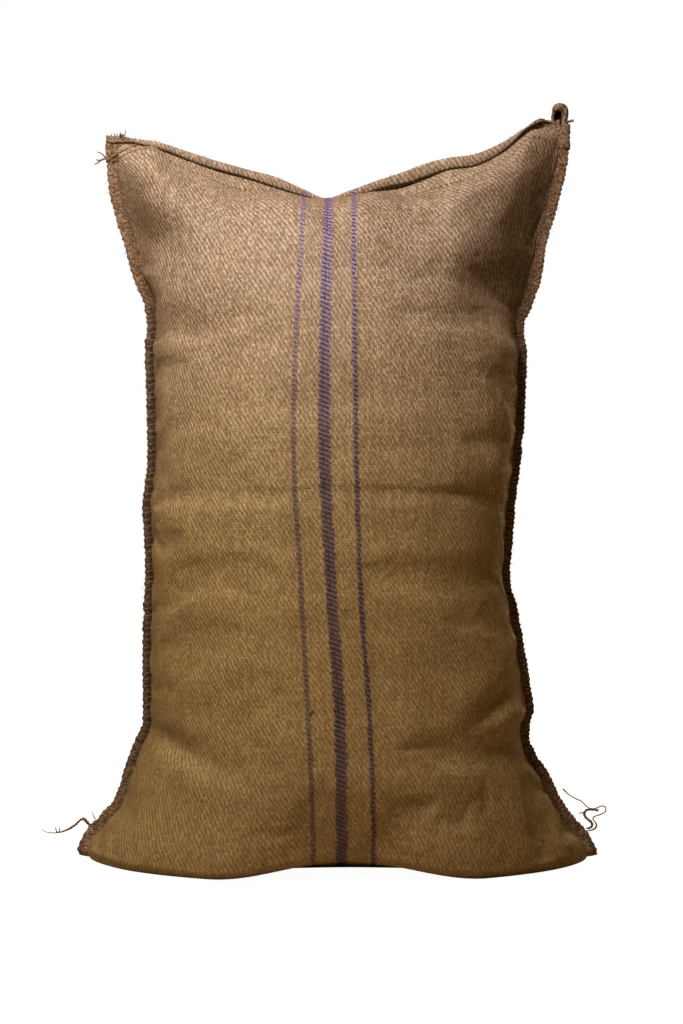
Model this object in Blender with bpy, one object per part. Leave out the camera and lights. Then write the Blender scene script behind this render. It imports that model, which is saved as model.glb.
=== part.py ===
"""A filled hessian sack that stands on its folded bottom.

One length of jute cloth is folded at the bottom and hemmed at the mouth.  Its two side edges are turned
in and bound with overcast twine, and the mouth is pressed shut over the filling.  Units are metres and
+Z is up.  +X is to the right and -Y towards someone who faces the front.  The origin is on the floor,
under the middle of the sack.
"""

import math

import bmesh
import bpy
import numpy as np

# Driving dimensions
BINDING_WIDTH = 0.0145  # from the cloth's edge line to the outer rim of the bound edge
BINDING_THICKNESS = 0.0092
BINDING_ROOT = 0.0056  # thickness of the binding where it meets the cloth
BINDING_LUMP = 0.0009  # how far the gathered cloth swells and shrinks the binding
RIM_REACH = 0.008  # how far each way the slope of a rim is read
LEVEL_END = 0.05  # share of a binding over which its foot turns level
EDGE_THICKNESS = 0.010  # both cloths where they enter the binding
CLEARANCE = 0.0004  # between one solid and the next
MOST_DRAWN = 0.75  # share of the filling's depth that a fold may take
SLIT_WIDTH = 0.0034  # between the two hems of the mouth
SLIT_DEPTH = 0.030
SLIT_END_DEPTH = 0.008
LIP_THICKNESS = 0.003  # turned front hem at the mouth
CORNER_LIFT = 0.0015  # both bottom corners stand a little off the floor
ARCH_HEIGHT = 0.022  # the bottom edge arches up between two lobes
ARCH_MIDDLE = 0.013
ARCH_HALF_WIDTH = 0.170
ARCH_START = 0.080  # how far in front of the middle the arch begins
ARCH_DEPTH = 0.075  # and the run over which it reaches its height
ARCH_RETREAT = 0.030  # how far the front draws back between the lobes
TIP_THICKNESS = 0.0088
TWINE = 0.0024
YARN = 0.0014

# How finely the forms are cut
COLUMNS = 40  # across each panel, from seam to seam
ROWS = 46  # up each panel, from the floor to the mouth
BASE_ROWS = 6
SLIT_STEPS = 2
BINDING_STEPS = 2  # steps of the binding between two rows of the cloth

# The outer rims of both bindings: height, left x, right x, left y, right y
RIMS = np.array([
    (0.0015, -0.3310, 0.3315, 0.000, 0.000),
    (0.008, -0.3335, 0.3325, 0.000, 0.000),
    (0.015, -0.3315, 0.3285, 0.000, 0.000),
    (0.033, -0.3230, 0.3176, 0.001, 0.000),
    (0.052, -0.3055, 0.3010, 0.003, -0.001),
    (0.071, -0.2895, 0.2883, 0.005, -0.002),
    (0.110, -0.2755, 0.2679, 0.008, -0.003),
    (0.148, -0.2615, 0.2462, 0.010, -0.004),
    (0.167, -0.2525, 0.2445, 0.011, -0.005),
    (0.187, -0.2515, 0.2500, 0.012, -0.005),
    (0.225, -0.2515, 0.2449, 0.013, -0.006),
    (0.320, -0.2502, 0.2283, 0.014, -0.008),
    (0.359, -0.2480, 0.2194, 0.014, -0.008),
    (0.397, -0.2490, 0.2225, 0.014, -0.008),
    (0.454, -0.2515, 0.2265, 0.014, -0.008),
    (0.493, -0.2462, 0.2316, 0.013, -0.007),
    (0.550, -0.2455, 0.2370, 0.012, -0.007),
    (0.607, -0.2462, 0.2400, 0.010, -0.006),
    (0.646, -0.2478, 0.2405, 0.009, -0.006),
    (0.684, -0.2450, 0.2385, 0.008, -0.006),
    (0.703, -0.2475, 0.2475, 0.007, -0.006),
    (0.741, -0.2630, 0.2597, 0.006, -0.005),
    (0.780, -0.2730, 0.2653, 0.004, -0.004),
    (0.818, -0.2844, 0.2768, 0.002, -0.002),
    (0.857, -0.2930, 0.2870, 0.000, 0.000),
    (0.893, -0.2946, 0.2940, 0.000, 0.000),
    (0.935, -0.2934, 0.2960, 0.000, 0.000),
])
LEFT_TOP = 0.914
RIGHT_TOP = 0.930

# The line up the middle of the front, from the floor's edge to the mouth: y, height
FRONT_PROFILE = np.array([
    (-0.190, 0.000),
    (-0.198, 0.006),
    (-0.201, 0.024),
    (-0.201, 0.060),
    (-0.199, 0.120),
    (-0.196, 0.190),
    (-0.194, 0.280),
    (-0.191, 0.400),
    (-0.184, 0.520),
    (-0.170, 0.630),
    (-0.148, 0.720),
    (-0.118, 0.785),
    (-0.092, 0.815),
    (-0.070, 0.8265),
    (-0.045, 0.831),
    (-0.020, 0.8335),
    (-0.003, 0.8345),
])

# The same line up the back, which ends at the top of the taller back hem
BACK_PROFILE = np.array([
    (0.170, 0.000),
    (0.182, 0.007),
    (0.189, 0.026),
    (0.192, 0.070),
    (0.192, 0.200),
    (0.190, 0.310),
    (0.186, 0.430),
    (0.178, 0.550),
    (0.164, 0.650),
    (0.143, 0.735),
    (0.115, 0.790),
    (0.085, 0.815),
    (0.055, 0.824),
    (0.030, 0.8265),
    (0.015, 0.829),
    (0.0105, 0.834),
    (0.0090, 0.8390),
])

# Where the stripes' middle line runs: height, x
MIDDLE_LINE = np.array([
    (0.000, 0.005),
    (0.160, 0.003),
    (0.260, -0.001),
    (0.400, -0.010),
    (0.470, -0.014),
    (0.570, -0.016),
    (0.690, -0.014),
    (0.835, -0.011),
])

# The mouth: x, height of the front lip, height of the back hem
MOUTH = np.array([
    (-0.281, 0.9105, 0.9165),
    (-0.258, 0.9080, 0.9120),
    (-0.2335, 0.9015, 0.9095),
    (-0.190, 0.8845, 0.8975),
    (-0.1556, 0.8720, 0.8865),
    (-0.1097, 0.8600, 0.8740),
    (-0.0829, 0.8514, 0.8670),
    (-0.0434, 0.8400, 0.8500),
    (-0.0166, 0.8345, 0.8390),
    (0.0128, 0.8380, 0.8476),
    (0.0459, 0.8476, 0.8600),
    (0.0791, 0.8560, 0.8710),
    (0.1352, 0.8743, 0.8890),
    (0.1798, 0.8815, 0.8965),
    (0.2143, 0.8985, 0.9125),
    (0.2436, 0.9215, 0.9310),
    (0.2640, 0.9280, 0.9370),
    (0.2820, 0.9300, 0.9380),
])

# How the section changes up the sack: share of the way up, fullness (below 1 is boxier than an ellipse
# and above 1 more pinched), and how late a row leaves the middle's height for the seam's
SECTIONS = np.array([
    (0.00, 1.10, 3.0),
    (0.05, 1.04, 2.8),
    (0.12, 0.98, 2.6),
    (0.30, 0.95, 2.2),
    (0.60, 1.00, 2.0),
    (0.72, 1.12, 2.0),
    (0.82, 1.45, 1.9),
    (0.90, 1.70, 1.6),
    (1.00, 1.50, 1.1),
])

# Folds and hollows of the front: x, height, half length, half width, turn in degrees, depth
FRONT_FOLDS = (
    (-0.247, 0.785, 0.075, 0.024, 80, 0.020),
    (-0.205, 0.775, 0.050, 0.020, 35, 0.010),
    (-0.185, 0.733, 0.060, 0.015, 14, -0.010),
    (-0.225, 0.688, 0.035, 0.012, 8, 0.018),
    (0.235, 0.785, 0.095, 0.032, 79, 0.036),
    (0.180, 0.750, 0.055, 0.020, -22, 0.018),
    (0.170, 0.706, 0.060, 0.018, -30, -0.010),
    (0.215, 0.684, 0.040, 0.012, -5, 0.018),
    (0.100, 0.463, 0.120, 0.009, 0, 0.005),
    (0.185, 0.458, 0.040, 0.014, -8, 0.012),
    (-0.205, 0.458, 0.035, 0.014, 12, 0.012),
    (-0.200, 0.155, 0.050, 0.015, -20, 0.017),
    (0.190, 0.205, 0.060, 0.016, 38, 0.014),
    (0.225, 0.160, 0.030, 0.011, 15, 0.013),
    (0.200, 0.362, 0.030, 0.014, 0, 0.010),
)

# Folds and hollows of the back
BACK_FOLDS = (
    (-0.240, 0.800, 0.080, 0.026, 100, 0.022),
    (-0.180, 0.760, 0.070, 0.018, -28, 0.010),
    (-0.205, 0.690, 0.045, 0.012, 6, 0.015),
    (0.245, 0.800, 0.075, 0.024, 82, 0.020),
    (0.200, 0.690, 0.050, 0.012, -8, 0.015),
    (0.180, 0.745, 0.055, 0.014, -20, -0.006),
    (-0.120, 0.462, 0.085, 0.011, -2, 0.006),
    (0.190, 0.452, 0.045, 0.013, 3, 0.010),
    (-0.195, 0.200, 0.055, 0.015, -35, 0.011),
    (0.200, 0.170, 0.050, 0.014, 25, 0.013),
)

# Loose ends of the sewing twine, as points chosen by hand: x, y, height
LEFT_TWINE = (
    (-0.3173, 0.001, 0.0391),
    (-0.3215, 0.001, 0.0445),
    (-0.3245, 0.000, 0.0478),
    (-0.3285, 0.000, 0.0462),
    (-0.3355, -0.001, 0.0398),
    (-0.3440, -0.002, 0.0345),
    (-0.3530, -0.003, 0.0311),
    (-0.3620, -0.003, 0.0297),
    (-0.3710, -0.003, 0.0305),
    (-0.3795, -0.002, 0.0345),
)
RIGHT_TWINE = (
    (0.3172, -0.001, 0.0352),
    (0.3222, -0.002, 0.0362),
    (0.3246, -0.002, 0.0390),
    (0.3238, -0.002, 0.0428),
    (0.3200, -0.001, 0.0462),
    (0.3160, 0.000, 0.0500),
    (0.3148, 0.000, 0.0545),
    (0.3172, -0.001, 0.0583),
    (0.3215, -0.001, 0.0592),
    (0.3265, -0.001, 0.0588),
    (0.3323, -0.001, 0.0584),
)
RIGHT_YARN = (
    (0.3191, 0.0010, 0.0317),
    (0.3245, 0.0030, 0.0322),
    (0.3290, 0.0035, 0.0345),
    (0.3308, 0.0030, 0.0385),
    (0.3290, 0.0020, 0.0425),
    (0.3262, 0.0010, 0.0462),
    (0.3266, -0.0010, 0.0498),
    (0.3305, -0.0030, 0.0518),
    (0.3360, -0.0040, 0.0540),
    (0.3412, -0.0050, 0.0580),
    (0.3412, -0.0050, 0.0628),
    (0.3370, -0.0050, 0.0646),
    (0.3320, -0.0050, 0.0628),
    (0.3265, -0.0050, 0.0610),
    (0.3205, -0.0050, 0.0618),
    (0.3160, -0.0040, 0.0650),
    (0.3110, -0.0030, 0.0700),
    (0.3035, -0.0030, 0.0735),
    (0.2945, -0.0030, 0.0790),
    (0.2870, -0.0040, 0.0860),
)

# The tip of the hem, rolled up and over at the right end of the mouth
ROLLED_TIP = (
    (0.2895, 0.0000, 0.9303),
    (0.2895, 0.0000, 0.9345),
    (0.2900, -0.0005, 0.9395),
    (0.2905, -0.0010, 0.9450),
    (0.2895, -0.0015, 0.9505),
    (0.2858, -0.0020, 0.9545),
    (0.2810, -0.0025, 0.9553),
    (0.2768, -0.0030, 0.9530),
    (0.2748, -0.0030, 0.9490),
)


def smooth_line(at, known_at, known):
    """Read a smooth line through known points, with each slope taken from the neighbours."""
    slopes = np.gradient(known, known_at)
    at = np.clip(at, known_at[0], known_at[-1])
    piece = np.clip(np.searchsorted(known_at, at, side="right") - 1, 0, len(known_at) - 2)
    step = known_at[piece + 1] - known_at[piece]
    u = (at - known_at[piece]) / step
    start = known[piece] * (1 + 2 * u) * (1 - u) ** 2 + slopes[piece] * step * u * (1 - u) ** 2
    end = known[piece + 1] * (3 - 2 * u) * u**2 - slopes[piece + 1] * step * u**2 * (1 - u)
    return start + end


def column_of(table, column, at):
    """Read one column of a table at a value of its first column."""
    return smooth_line(at, table[:, 0], table[:, column])


def along(points, share):
    """Walk a line of points smoothly and give the places at these shares of its length."""
    lengths = np.concatenate([[0.0], np.cumsum(np.linalg.norm(np.diff(points, axis=0), axis=1))])
    at = share * lengths[-1]
    return [smooth_line(at, lengths, points[:, axis]) for axis in range(points.shape[1])]


def smooth_step(x):
    x = np.clip(x, 0.0, 1.0)
    return x * x * (3 - 2 * x)


def bump(x):
    """1 at the middle, falling softly to 0 at -1 and 1."""
    return np.cos(np.clip(x, -1.0, 1.0) * math.pi / 2) ** 2


def rim_line(side, share):
    """The outer rim of a side's binding at these shares of the way up, and which way is outward there."""
    rim_column, depth_column = (1, 3) if side < 0 else (2, 4)
    low, top = RIMS[0, 0], LEFT_TOP if side < 0 else RIGHT_TOP
    z = low + (top - low) * share
    above = np.minimum(z + RIM_REACH, top)
    below = np.maximum(z - RIM_REACH, low)
    run = column_of(RIMS, rim_column, above) - column_of(RIMS, rim_column, below)
    run = run * smooth_step(share / LEVEL_END)
    climb = above - below
    length = np.hypot(run, climb)
    outward = (side * climb / length, -side * run / length)
    return (column_of(RIMS, rim_column, z), column_of(RIMS, depth_column, z), z), outward


def cloth_edge(side, share):
    """Where the cloth enters a side's binding: x, y and z at these shares of the way up."""
    (x, y, z), (outward_x, outward_z) = rim_line(side, share)
    return x - outward_x * BINDING_WIDTH, y, z - outward_z * BINDING_WIDTH


def floor_height(x, y):
    """How far the bottom stands off the floor: at the corners and between the two front lobes."""
    corner = CORNER_LIFT * smooth_step((np.abs(x) - 0.25) / 0.07)
    between_lobes = bump((x - ARCH_MIDDLE) / ARCH_HALF_WIDTH)
    in_front = smooth_step((-y - ARCH_START) / ARCH_DEPTH)
    return corner + ARCH_HEIGHT * between_lobes * in_front


def folded(x, z, folds):
    """How far the folds and hollows draw the cloth in at each place."""
    drawn = np.zeros_like(x)
    for fold_x, fold_z, half_length, half_width, turn, depth in folds:
        angle = math.radians(turn)
        lengthwise = (x - fold_x) * math.cos(angle) + (z - fold_z) * math.sin(angle)
        across = (z - fold_z) * math.cos(angle) - (x - fold_x) * math.sin(angle)
        drawn += depth * np.exp(-((lengthwise / half_length) ** 2) - (across / half_width) ** 2)
    return drawn


def row_height(middle_z, edge_rise, sine, leaving):
    """The height along a row that runs from the middle line to the seam."""
    return middle_z + (edge_rise - middle_z) * np.abs(sine) ** leaving


def panel(front, across, up):
    """One panel of the sack as a grid of places, for shares across (-1 to 1) and up (0 to 1)."""
    towards = -1 if front else 1
    profile = FRONT_PROFILE if front else BACK_PROFILE
    sine = np.sin(across * math.pi / 2)
    cosine = np.clip(np.cos(across * math.pi / 2), 0.0, 1.0)

    def edges(share):
        return [np.where(across < 0, a, b) for a, b in zip(cloth_edge(-1, share), cloth_edge(1, share))]

    middle_y, middle_z = along(profile, up)
    middle_x = column_of(MIDDLE_LINE, 1, middle_z)
    edge_x, edge_y, edge_z = edges(up)
    foot = edges(0 * up)[2]
    x = middle_x + (edge_x - middle_x) * np.abs(sine)
    root_y = edge_y + towards * EDGE_THICKNESS / 2
    y = root_y + (middle_y - root_y) * cosine ** column_of(SECTIONS, 1, up)
    z = row_height(middle_z, edge_z - foot, sine, column_of(SECTIONS, 2, up))

    mouth_x, _, mouth_z = edges(0 * up + 1)
    mouth_x = MIDDLE_LINE[-1, 1] + (mouth_x - MIDDLE_LINE[-1, 1]) * np.abs(sine)
    mouth = column_of(MOUTH, 1 if front else 2, mouth_x)
    plain_mouth = row_height(profile[-1, 1], mouth_z - foot, sine, SECTIONS[-1, 2])
    z += (mouth - plain_mouth) * smooth_step((up - 0.80) / 0.20) ** 2
    z += floor_height(x, y) * smooth_step(1 - up / 0.14)
    if front:
        y += ARCH_RETREAT * bump((x - ARCH_MIDDLE) / ARCH_HALF_WIDTH) * smooth_step(1 - up / 0.16)

    drawn = folded(x, z, FRONT_FOLDS if front else BACK_FOLDS)
    drawn *= smooth_step(up / 0.08) * smooth_step((1 - up) / 0.10) * (1 - across**16)
    room = np.abs(y - edge_y) - EDGE_THICKNESS / 2
    y -= towards * np.minimum(drawn, MOST_DRAWN * np.maximum(room, 0.0))
    return np.stack([x, y, z], axis=-1)


def material(name, colour, roughness):
    made = bpy.data.materials.new(name)
    made.use_nodes = True
    shader = made.node_tree.nodes["Principled BSDF"]
    shader.inputs["Base Color"].default_value = (*colour, 1.0)
    shader.inputs["Roughness"].default_value = roughness
    shader.inputs["Metallic"].default_value = 0.0
    made.diffuse_color = (*colour, 1.0)
    return made


def finished(name, mesh_builder, finish, collection):
    """Close a bmesh into a named object with its material."""
    bmesh.ops.triangulate(mesh_builder, faces=mesh_builder.faces[:], quad_method="SHORT_EDGE")
    mesh = bpy.data.meshes.new(name)
    mesh_builder.to_mesh(mesh)
    mesh_builder.free()
    mesh.shade_smooth()
    mesh.set_sharp_from_angle(angle=math.radians(40))
    made = bpy.data.objects.new(name, mesh)
    made.data.materials.append(finish)
    collection.objects.link(made)
    return made


def strips(mesh_builder, grid):
    """Faces between neighbouring rows of a grid of vertices, facing its columns crossed with its rows."""
    for lower, upper in zip(grid, grid[1:]):
        for first, second, third, fourth in zip(lower, lower[1:], upper[1:], upper):
            mesh_builder.faces.new((first, second, third, fourth))


def slit_section(lip, hem, share):
    """The mouth's section from the front lip, down into the slit and up to the back hem."""
    depth = SLIT_END_DEPTH + (SLIT_DEPTH - SLIT_END_DEPTH) * (1 - share**6)
    width = SLIT_WIDTH - 0.0012 * share**4
    near = lip[1] + LIP_THICKNESS
    far = near + width
    bottom = lip[2] - depth
    levels = np.linspace(0.0, 1.0, SLIT_STEPS + 1)
    down = [(lip[0], near, lip[2] + (bottom - lip[2]) * level) for level in levels]
    rise = [(lip[0], far, bottom + (hem[2] - bottom) * level) for level in levels]
    return down + rise


def make_body(collection, finish):
    """The filled cloth: two panels, the flat bottom, and the mouth with its slit, as one solid."""
    across, up = np.meshgrid(np.linspace(-1, 1, COLUMNS + 1), np.linspace(0, 1, ROWS + 1))
    front_places = panel(True, across, up)
    back_places = panel(False, across, up)
    builder = bmesh.new()

    def vertices(places):
        return [[builder.verts.new(place) for place in row] for row in places]

    front = vertices(front_places)
    back = vertices(back_places)
    strips(builder, front)
    strips(builder, [row[::-1] for row in back])

    shares = np.linspace(0, 1, BASE_ROWS + 1)[1:-1, None, None]
    bottom_places = front_places[0] + (back_places[0] - front_places[0]) * shares
    bottom_places[..., 2] = floor_height(bottom_places[..., 0], bottom_places[..., 1])
    bottom = [front[0], *vertices(bottom_places), back[0]]
    strips(builder, [row[::-1] for row in bottom])

    for edge, order in ((0, 1), (-1, -1)):
        corner = [front[0][edge], front[1][edge], back[1][edge]]
        corner += [row[edge] for row in bottom[:0:-1]]
        builder.faces.new(corner[::order])
        for row in range(1, ROWS):
            side = (front[row][edge], front[row + 1][edge], back[row + 1][edge], back[row][edge])
            builder.faces.new(side[::order])

    lip, hem = front[-1], back[-1]
    inner = range(1, COLUMNS)
    sections = [slit_section(lip[i].co, hem[i].co, abs(2 * i / COLUMNS - 1)) for i in inner]
    slit = [[builder.verts.new(section[step]) for section in sections] for step in range(len(sections[0]))]
    strips(builder, [lip[1:-1], *slit, hem[1:-1]])
    for edge, beside, order in ((0, 0, 1), (-1, -1, -1)):
        next_in = 1 if edge == 0 else -2
        top = [lip[edge], lip[next_in], slit[0][beside], slit[-1][beside], hem[next_in], hem[edge]]
        builder.faces.new(top[::order])
        builder.faces.new([row[beside] for row in slit][::order])
    return finished("sack_body", builder, finish, collection)


def binding_lump(distance, side):
    """The uneven swelling of a bound edge along its length."""
    wave = math.sin(distance / 0.0052 + side) + 0.7 * math.sin(distance / 0.0083 - 2 * side)
    return BINDING_LUMP * (0.5 + wave)


def make_binding(name, side, collection, finish):
    """A side edge, turned in and bound with twine: a lumpy flat rope along the edge of the cloth."""
    shares = np.linspace(0, 1, ROWS + 1)
    line = panel(True, np.full_like(shares, side), shares)
    line[:, 1] += EDGE_THICKNESS / 2
    outward = np.stack(rim_line(side, shares)[1], axis=-1)
    fine_shares = np.linspace(0, 1, ROWS * BINDING_STEPS + 1)

    def finely(values):
        return np.stack([np.interp(fine_shares, shares, column) for column in values.T], axis=-1)

    root, half = BINDING_ROOT / 2, BINDING_THICKNESS / 2
    rim = 0.45 * half
    section = (
        (0.0, -root),
        (0.25, -half),
        (0.68, -half),
        (1.0, -rim),
        (1.0, rim),
        (0.68, half),
        (0.25, half),
        (0.0, root),
    )
    builder = bmesh.new()
    rings = []
    distance = 0.0
    last = line[0]
    for place, (outward_x, outward_z) in zip(finely(line), finely(outward)):
        distance += float(np.linalg.norm(place - last))
        last = place
        width = BINDING_WIDTH - CLEARANCE + binding_lump(distance, side)
        reaches = [CLEARANCE + share * width for share, _ in section]
        rings.append([
            builder.verts.new((place[0] + outward_x * reach, place[1] + thick, place[2] + outward_z * reach))
            for reach, (_, thick) in zip(reaches, section)
        ])
    closed = [ring + ring[:1] for ring in rings]
    if side < 0:
        closed = [ring[::-1] for ring in closed]
    strips(builder, closed)
    builder.faces.new(rings[0][::-side])
    builder.faces.new(rings[-1][::side])
    return finished(name, builder, finish, collection)


def make_cord(name, points, diameter, spacing, collection, finish):
    """A loose end of twine: a round tube with filled ends along a smooth line through its points."""
    points = np.array(points)
    length = float(np.linalg.norm(np.diff(points, axis=0), axis=1).sum())
    count = max(4, round(length / spacing))
    places = np.stack(along(points, np.linspace(0, 1, count + 1)), axis=-1)
    data = bpy.data.curves.new(name, "CURVE")
    data.dimensions = "3D"
    data.bevel_depth = diameter / 2
    data.bevel_resolution = 2
    data.use_fill_caps = True
    spline = data.splines.new("POLY")
    spline.points.add(len(places) - 1)
    for point, place in zip(spline.points, places):
        point.co = (*place, 1.0)
    data.materials.append(finish)
    made = bpy.data.objects.new(name, data)
    collection.objects.link(made)
    return made


def main():
    for old in list(bpy.data.objects):
        bpy.data.objects.remove(old, do_unlink=True)
    collection = bpy.data.collections.new("hessian_sack")
    bpy.context.scene.collection.children.link(collection)
    hessian = material("hessian", (0.30, 0.195, 0.10), 0.92)
    twine = material("twine", (0.22, 0.125, 0.06), 0.9)
    make_body(collection, hessian)
    make_binding("seam_left", -1, collection, twine)
    make_binding("seam_right", 1, collection, twine)
    make_cord("hem_tip", ROLLED_TIP, TIP_THICKNESS, 0.5 * TIP_THICKNESS, collection, hessian)
    make_cord("twine_end_left", LEFT_TWINE, TWINE, 2 * TWINE, collection, twine)
    make_cord("twine_end_right", RIGHT_TWINE, TWINE, TWINE, collection, twine)
    make_cord("yarn_end_right", RIGHT_YARN, YARN, 2 * YARN, collection, twine)


main()
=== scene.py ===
"""The looks of a filled hessian sack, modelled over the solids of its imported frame.

The cloth is one fine mesh on the form of its solid, with seam puckers from a cloth simulation, and its twill,
stripes and flecks are a material in the cloth's own width and length.  The overcast twine of the side seams,
the hem's stitches, the rolled tip, the loose ends and the frayed fibres are meshes of their own.  Units are
metres and +Z is up.
"""

import math

import bmesh
import bpy
import numpy as np
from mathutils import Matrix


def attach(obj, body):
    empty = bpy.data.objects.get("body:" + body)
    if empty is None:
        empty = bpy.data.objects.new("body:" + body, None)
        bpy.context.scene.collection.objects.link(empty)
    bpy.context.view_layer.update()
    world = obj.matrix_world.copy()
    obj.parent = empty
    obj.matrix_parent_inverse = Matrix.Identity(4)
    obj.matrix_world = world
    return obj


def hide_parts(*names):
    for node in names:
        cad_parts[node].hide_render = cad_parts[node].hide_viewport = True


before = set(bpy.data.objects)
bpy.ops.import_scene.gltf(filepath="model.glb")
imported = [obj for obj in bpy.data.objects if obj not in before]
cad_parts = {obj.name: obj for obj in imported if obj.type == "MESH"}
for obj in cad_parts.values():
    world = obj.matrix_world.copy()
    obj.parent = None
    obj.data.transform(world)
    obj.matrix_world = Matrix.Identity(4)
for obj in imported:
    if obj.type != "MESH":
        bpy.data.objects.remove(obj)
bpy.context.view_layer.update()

# Sizes that the solids have too
BINDING_WIDTH = 0.0145
BINDING_THICKNESS = 0.0092
RIM_REACH = 0.008
LEVEL_END = 0.05
EDGE_THICKNESS = 0.010
MOST_DRAWN = 0.75
SLIT_DEPTH = 0.030
SLIT_END_DEPTH = 0.008
LIP_THICKNESS = 0.003
CORNER_LIFT = 0.0015
ARCH_HEIGHT = 0.022
ARCH_MIDDLE = 0.013
ARCH_HALF_WIDTH = 0.170
ARCH_START = 0.080
ARCH_DEPTH = 0.075
ARCH_RETREAT = 0.030
TWINE = 0.0024
YARN = 0.0014

# The cloth
HALF_WIDTH = 0.3375  # of the flat sack between its seams
HEM = 0.023
HEM_DIP = 0.006  # how far the hem's stitches draw the front down behind its crest
PAIR_PITCH = 0.00202  # from one pair of warp ends to the next
PICK_PITCH = 0.00322  # from one weft pick to the next
STRIPE_SPACING = 0.0367
WIDE_STRIPE = 0.0137
NARROW_STRIPE = 0.0059

# How finely the cloth and the seams are cut; the simulation halves the cloth's rows and columns
COLUMNS = 190
ROWS = 236
BASE_ROWS = 8
SEAM_ROWS = 640
HAIR_ROWS = 300
SETTLE_STEPS = 20
SETTLE_CAP = 0.003  # the most that the simulation moves the cloth
HELD_BELOW = 2  # rows that the simulation holds at the floor
HELD_ABOVE = 7  # and at the mouth
WAVES = 14  # in each pattern of ripples
TIP_YARNS = 34
SEAM_HAIRS = 260  # on each side
HEM_HAIRS = 200  # on each panel

# The camera: how far in front it stands, how high, and in pixels its focal length, the picture's height and
# how far below the middle it looks
EYE_DISTANCE = 2.5
EYE_HEIGHT = 0.47
FOCAL_LENGTH = 1960
PICTURE_HEIGHT = 1024
LOOKS_DOWN = 24

# The overcast stitches of the left and right seams: from one to the next, and how far one slants, in stitches
STITCH_PITCH = {-1: 0.0082, 1: 0.0064}
SLANT = {-1: 0.9, 1: 0.15}
ROOT_DEPTH = -0.0025  # how far a seam's edge starts inside the cloth
HEM_STITCH_PITCH = 0.0072
HEM_STITCH_LENGTH = 0.0052

# The darkest painted shade and dark marks, and the warm tint of a thin layer of them
SHADE_AND_MARK_DARK = (0.012, 0.006, 0.003)
SHADE_AND_MARK_TINT = (1.0, 0.84, 0.42)

# The outer rims of both bindings: height, left x, right x, left y, right y
RIMS = np.array([
    (0.0015, -0.3310, 0.3315, 0.000, 0.000),
    (0.008, -0.3335, 0.3325, 0.000, 0.000),
    (0.015, -0.3315, 0.3285, 0.000, 0.000),
    (0.033, -0.3230, 0.3176, 0.001, 0.000),
    (0.052, -0.3055, 0.3010, 0.003, -0.001),
    (0.071, -0.2895, 0.2883, 0.005, -0.002),
    (0.110, -0.2755, 0.2679, 0.008, -0.003),
    (0.148, -0.2615, 0.2462, 0.010, -0.004),
    (0.167, -0.2525, 0.2445, 0.011, -0.005),
    (0.187, -0.2515, 0.2500, 0.012, -0.005),
    (0.225, -0.2515, 0.2449, 0.013, -0.006),
    (0.320, -0.2502, 0.2283, 0.014, -0.008),
    (0.359, -0.2480, 0.2194, 0.014, -0.008),
    (0.397, -0.2490, 0.2225, 0.014, -0.008),
    (0.454, -0.2515, 0.2265, 0.014, -0.008),
    (0.493, -0.2462, 0.2316, 0.013, -0.007),
    (0.550, -0.2455, 0.2370, 0.012, -0.007),
    (0.607, -0.2462, 0.2400, 0.010, -0.006),
    (0.646, -0.2478, 0.2405, 0.009, -0.006),
    (0.684, -0.2450, 0.2385, 0.008, -0.006),
    (0.703, -0.2475, 0.2475, 0.007, -0.006),
    (0.741, -0.2630, 0.2597, 0.006, -0.005),
    (0.780, -0.2730, 0.2653, 0.004, -0.004),
    (0.818, -0.2844, 0.2768, 0.002, -0.002),
    (0.857, -0.2930, 0.2870, 0.000, 0.000),
    (0.893, -0.2946, 0.2940, 0.000, 0.000),
    (0.935, -0.2934, 0.2960, 0.000, 0.000),
])
LEFT_TOP = 0.914
RIGHT_TOP = 0.930

# The line up the middle of the front, and the one up the back: y, height
FRONT_PROFILE = np.array([
    (-0.190, 0.000),
    (-0.198, 0.006),
    (-0.201, 0.024),
    (-0.201, 0.060),
    (-0.199, 0.120),
    (-0.196, 0.190),
    (-0.194, 0.280),
    (-0.191, 0.400),
    (-0.184, 0.520),
    (-0.170, 0.630),
    (-0.148, 0.720),
    (-0.118, 0.785),
    (-0.092, 0.815),
    (-0.070, 0.8265),
    (-0.045, 0.831),
    (-0.020, 0.8335),
    (-0.003, 0.8345),
])
BACK_PROFILE = np.array([
    (0.170, 0.000),
    (0.182, 0.007),
    (0.189, 0.026),
    (0.192, 0.070),
    (0.192, 0.200),
    (0.190, 0.310),
    (0.186, 0.430),
    (0.178, 0.550),
    (0.164, 0.650),
    (0.143, 0.735),
    (0.115, 0.790),
    (0.085, 0.815),
    (0.055, 0.824),
    (0.030, 0.8265),
    (0.015, 0.829),
    (0.0105, 0.834),
    (0.0090, 0.8390),
])
MIDDLE_LINE = np.array([
    (0.000, 0.005),
    (0.160, 0.003),
    (0.260, -0.001),
    (0.400, -0.010),
    (0.470, -0.014),
    (0.570, -0.016),
    (0.690, -0.014),
    (0.835, -0.011),
])

# The mouth: x, height of the front lip, height of the back hem
MOUTH = np.array([
    (-0.281, 0.9085, 0.9180),
    (-0.258, 0.9055, 0.9140),
    (-0.2335, 0.9000, 0.9110),
    (-0.190, 0.8845, 0.8975),
    (-0.1556, 0.8720, 0.8865),
    (-0.1097, 0.8600, 0.8740),
    (-0.0829, 0.8514, 0.8670),
    (-0.0434, 0.8400, 0.8500),
    (-0.0166, 0.8345, 0.8390),
    (0.0128, 0.8380, 0.8476),
    (0.0459, 0.8456, 0.8600),
    (0.0791, 0.8500, 0.8710),
    (0.1150, 0.8628, 0.8840),
    (0.1352, 0.8712, 0.8890),
    (0.1798, 0.8795, 0.8965),
    (0.2143, 0.8985, 0.9125),
    (0.2436, 0.9215, 0.9310),
    (0.2640, 0.9280, 0.9370),
    (0.2820, 0.9300, 0.9380),
])

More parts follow.
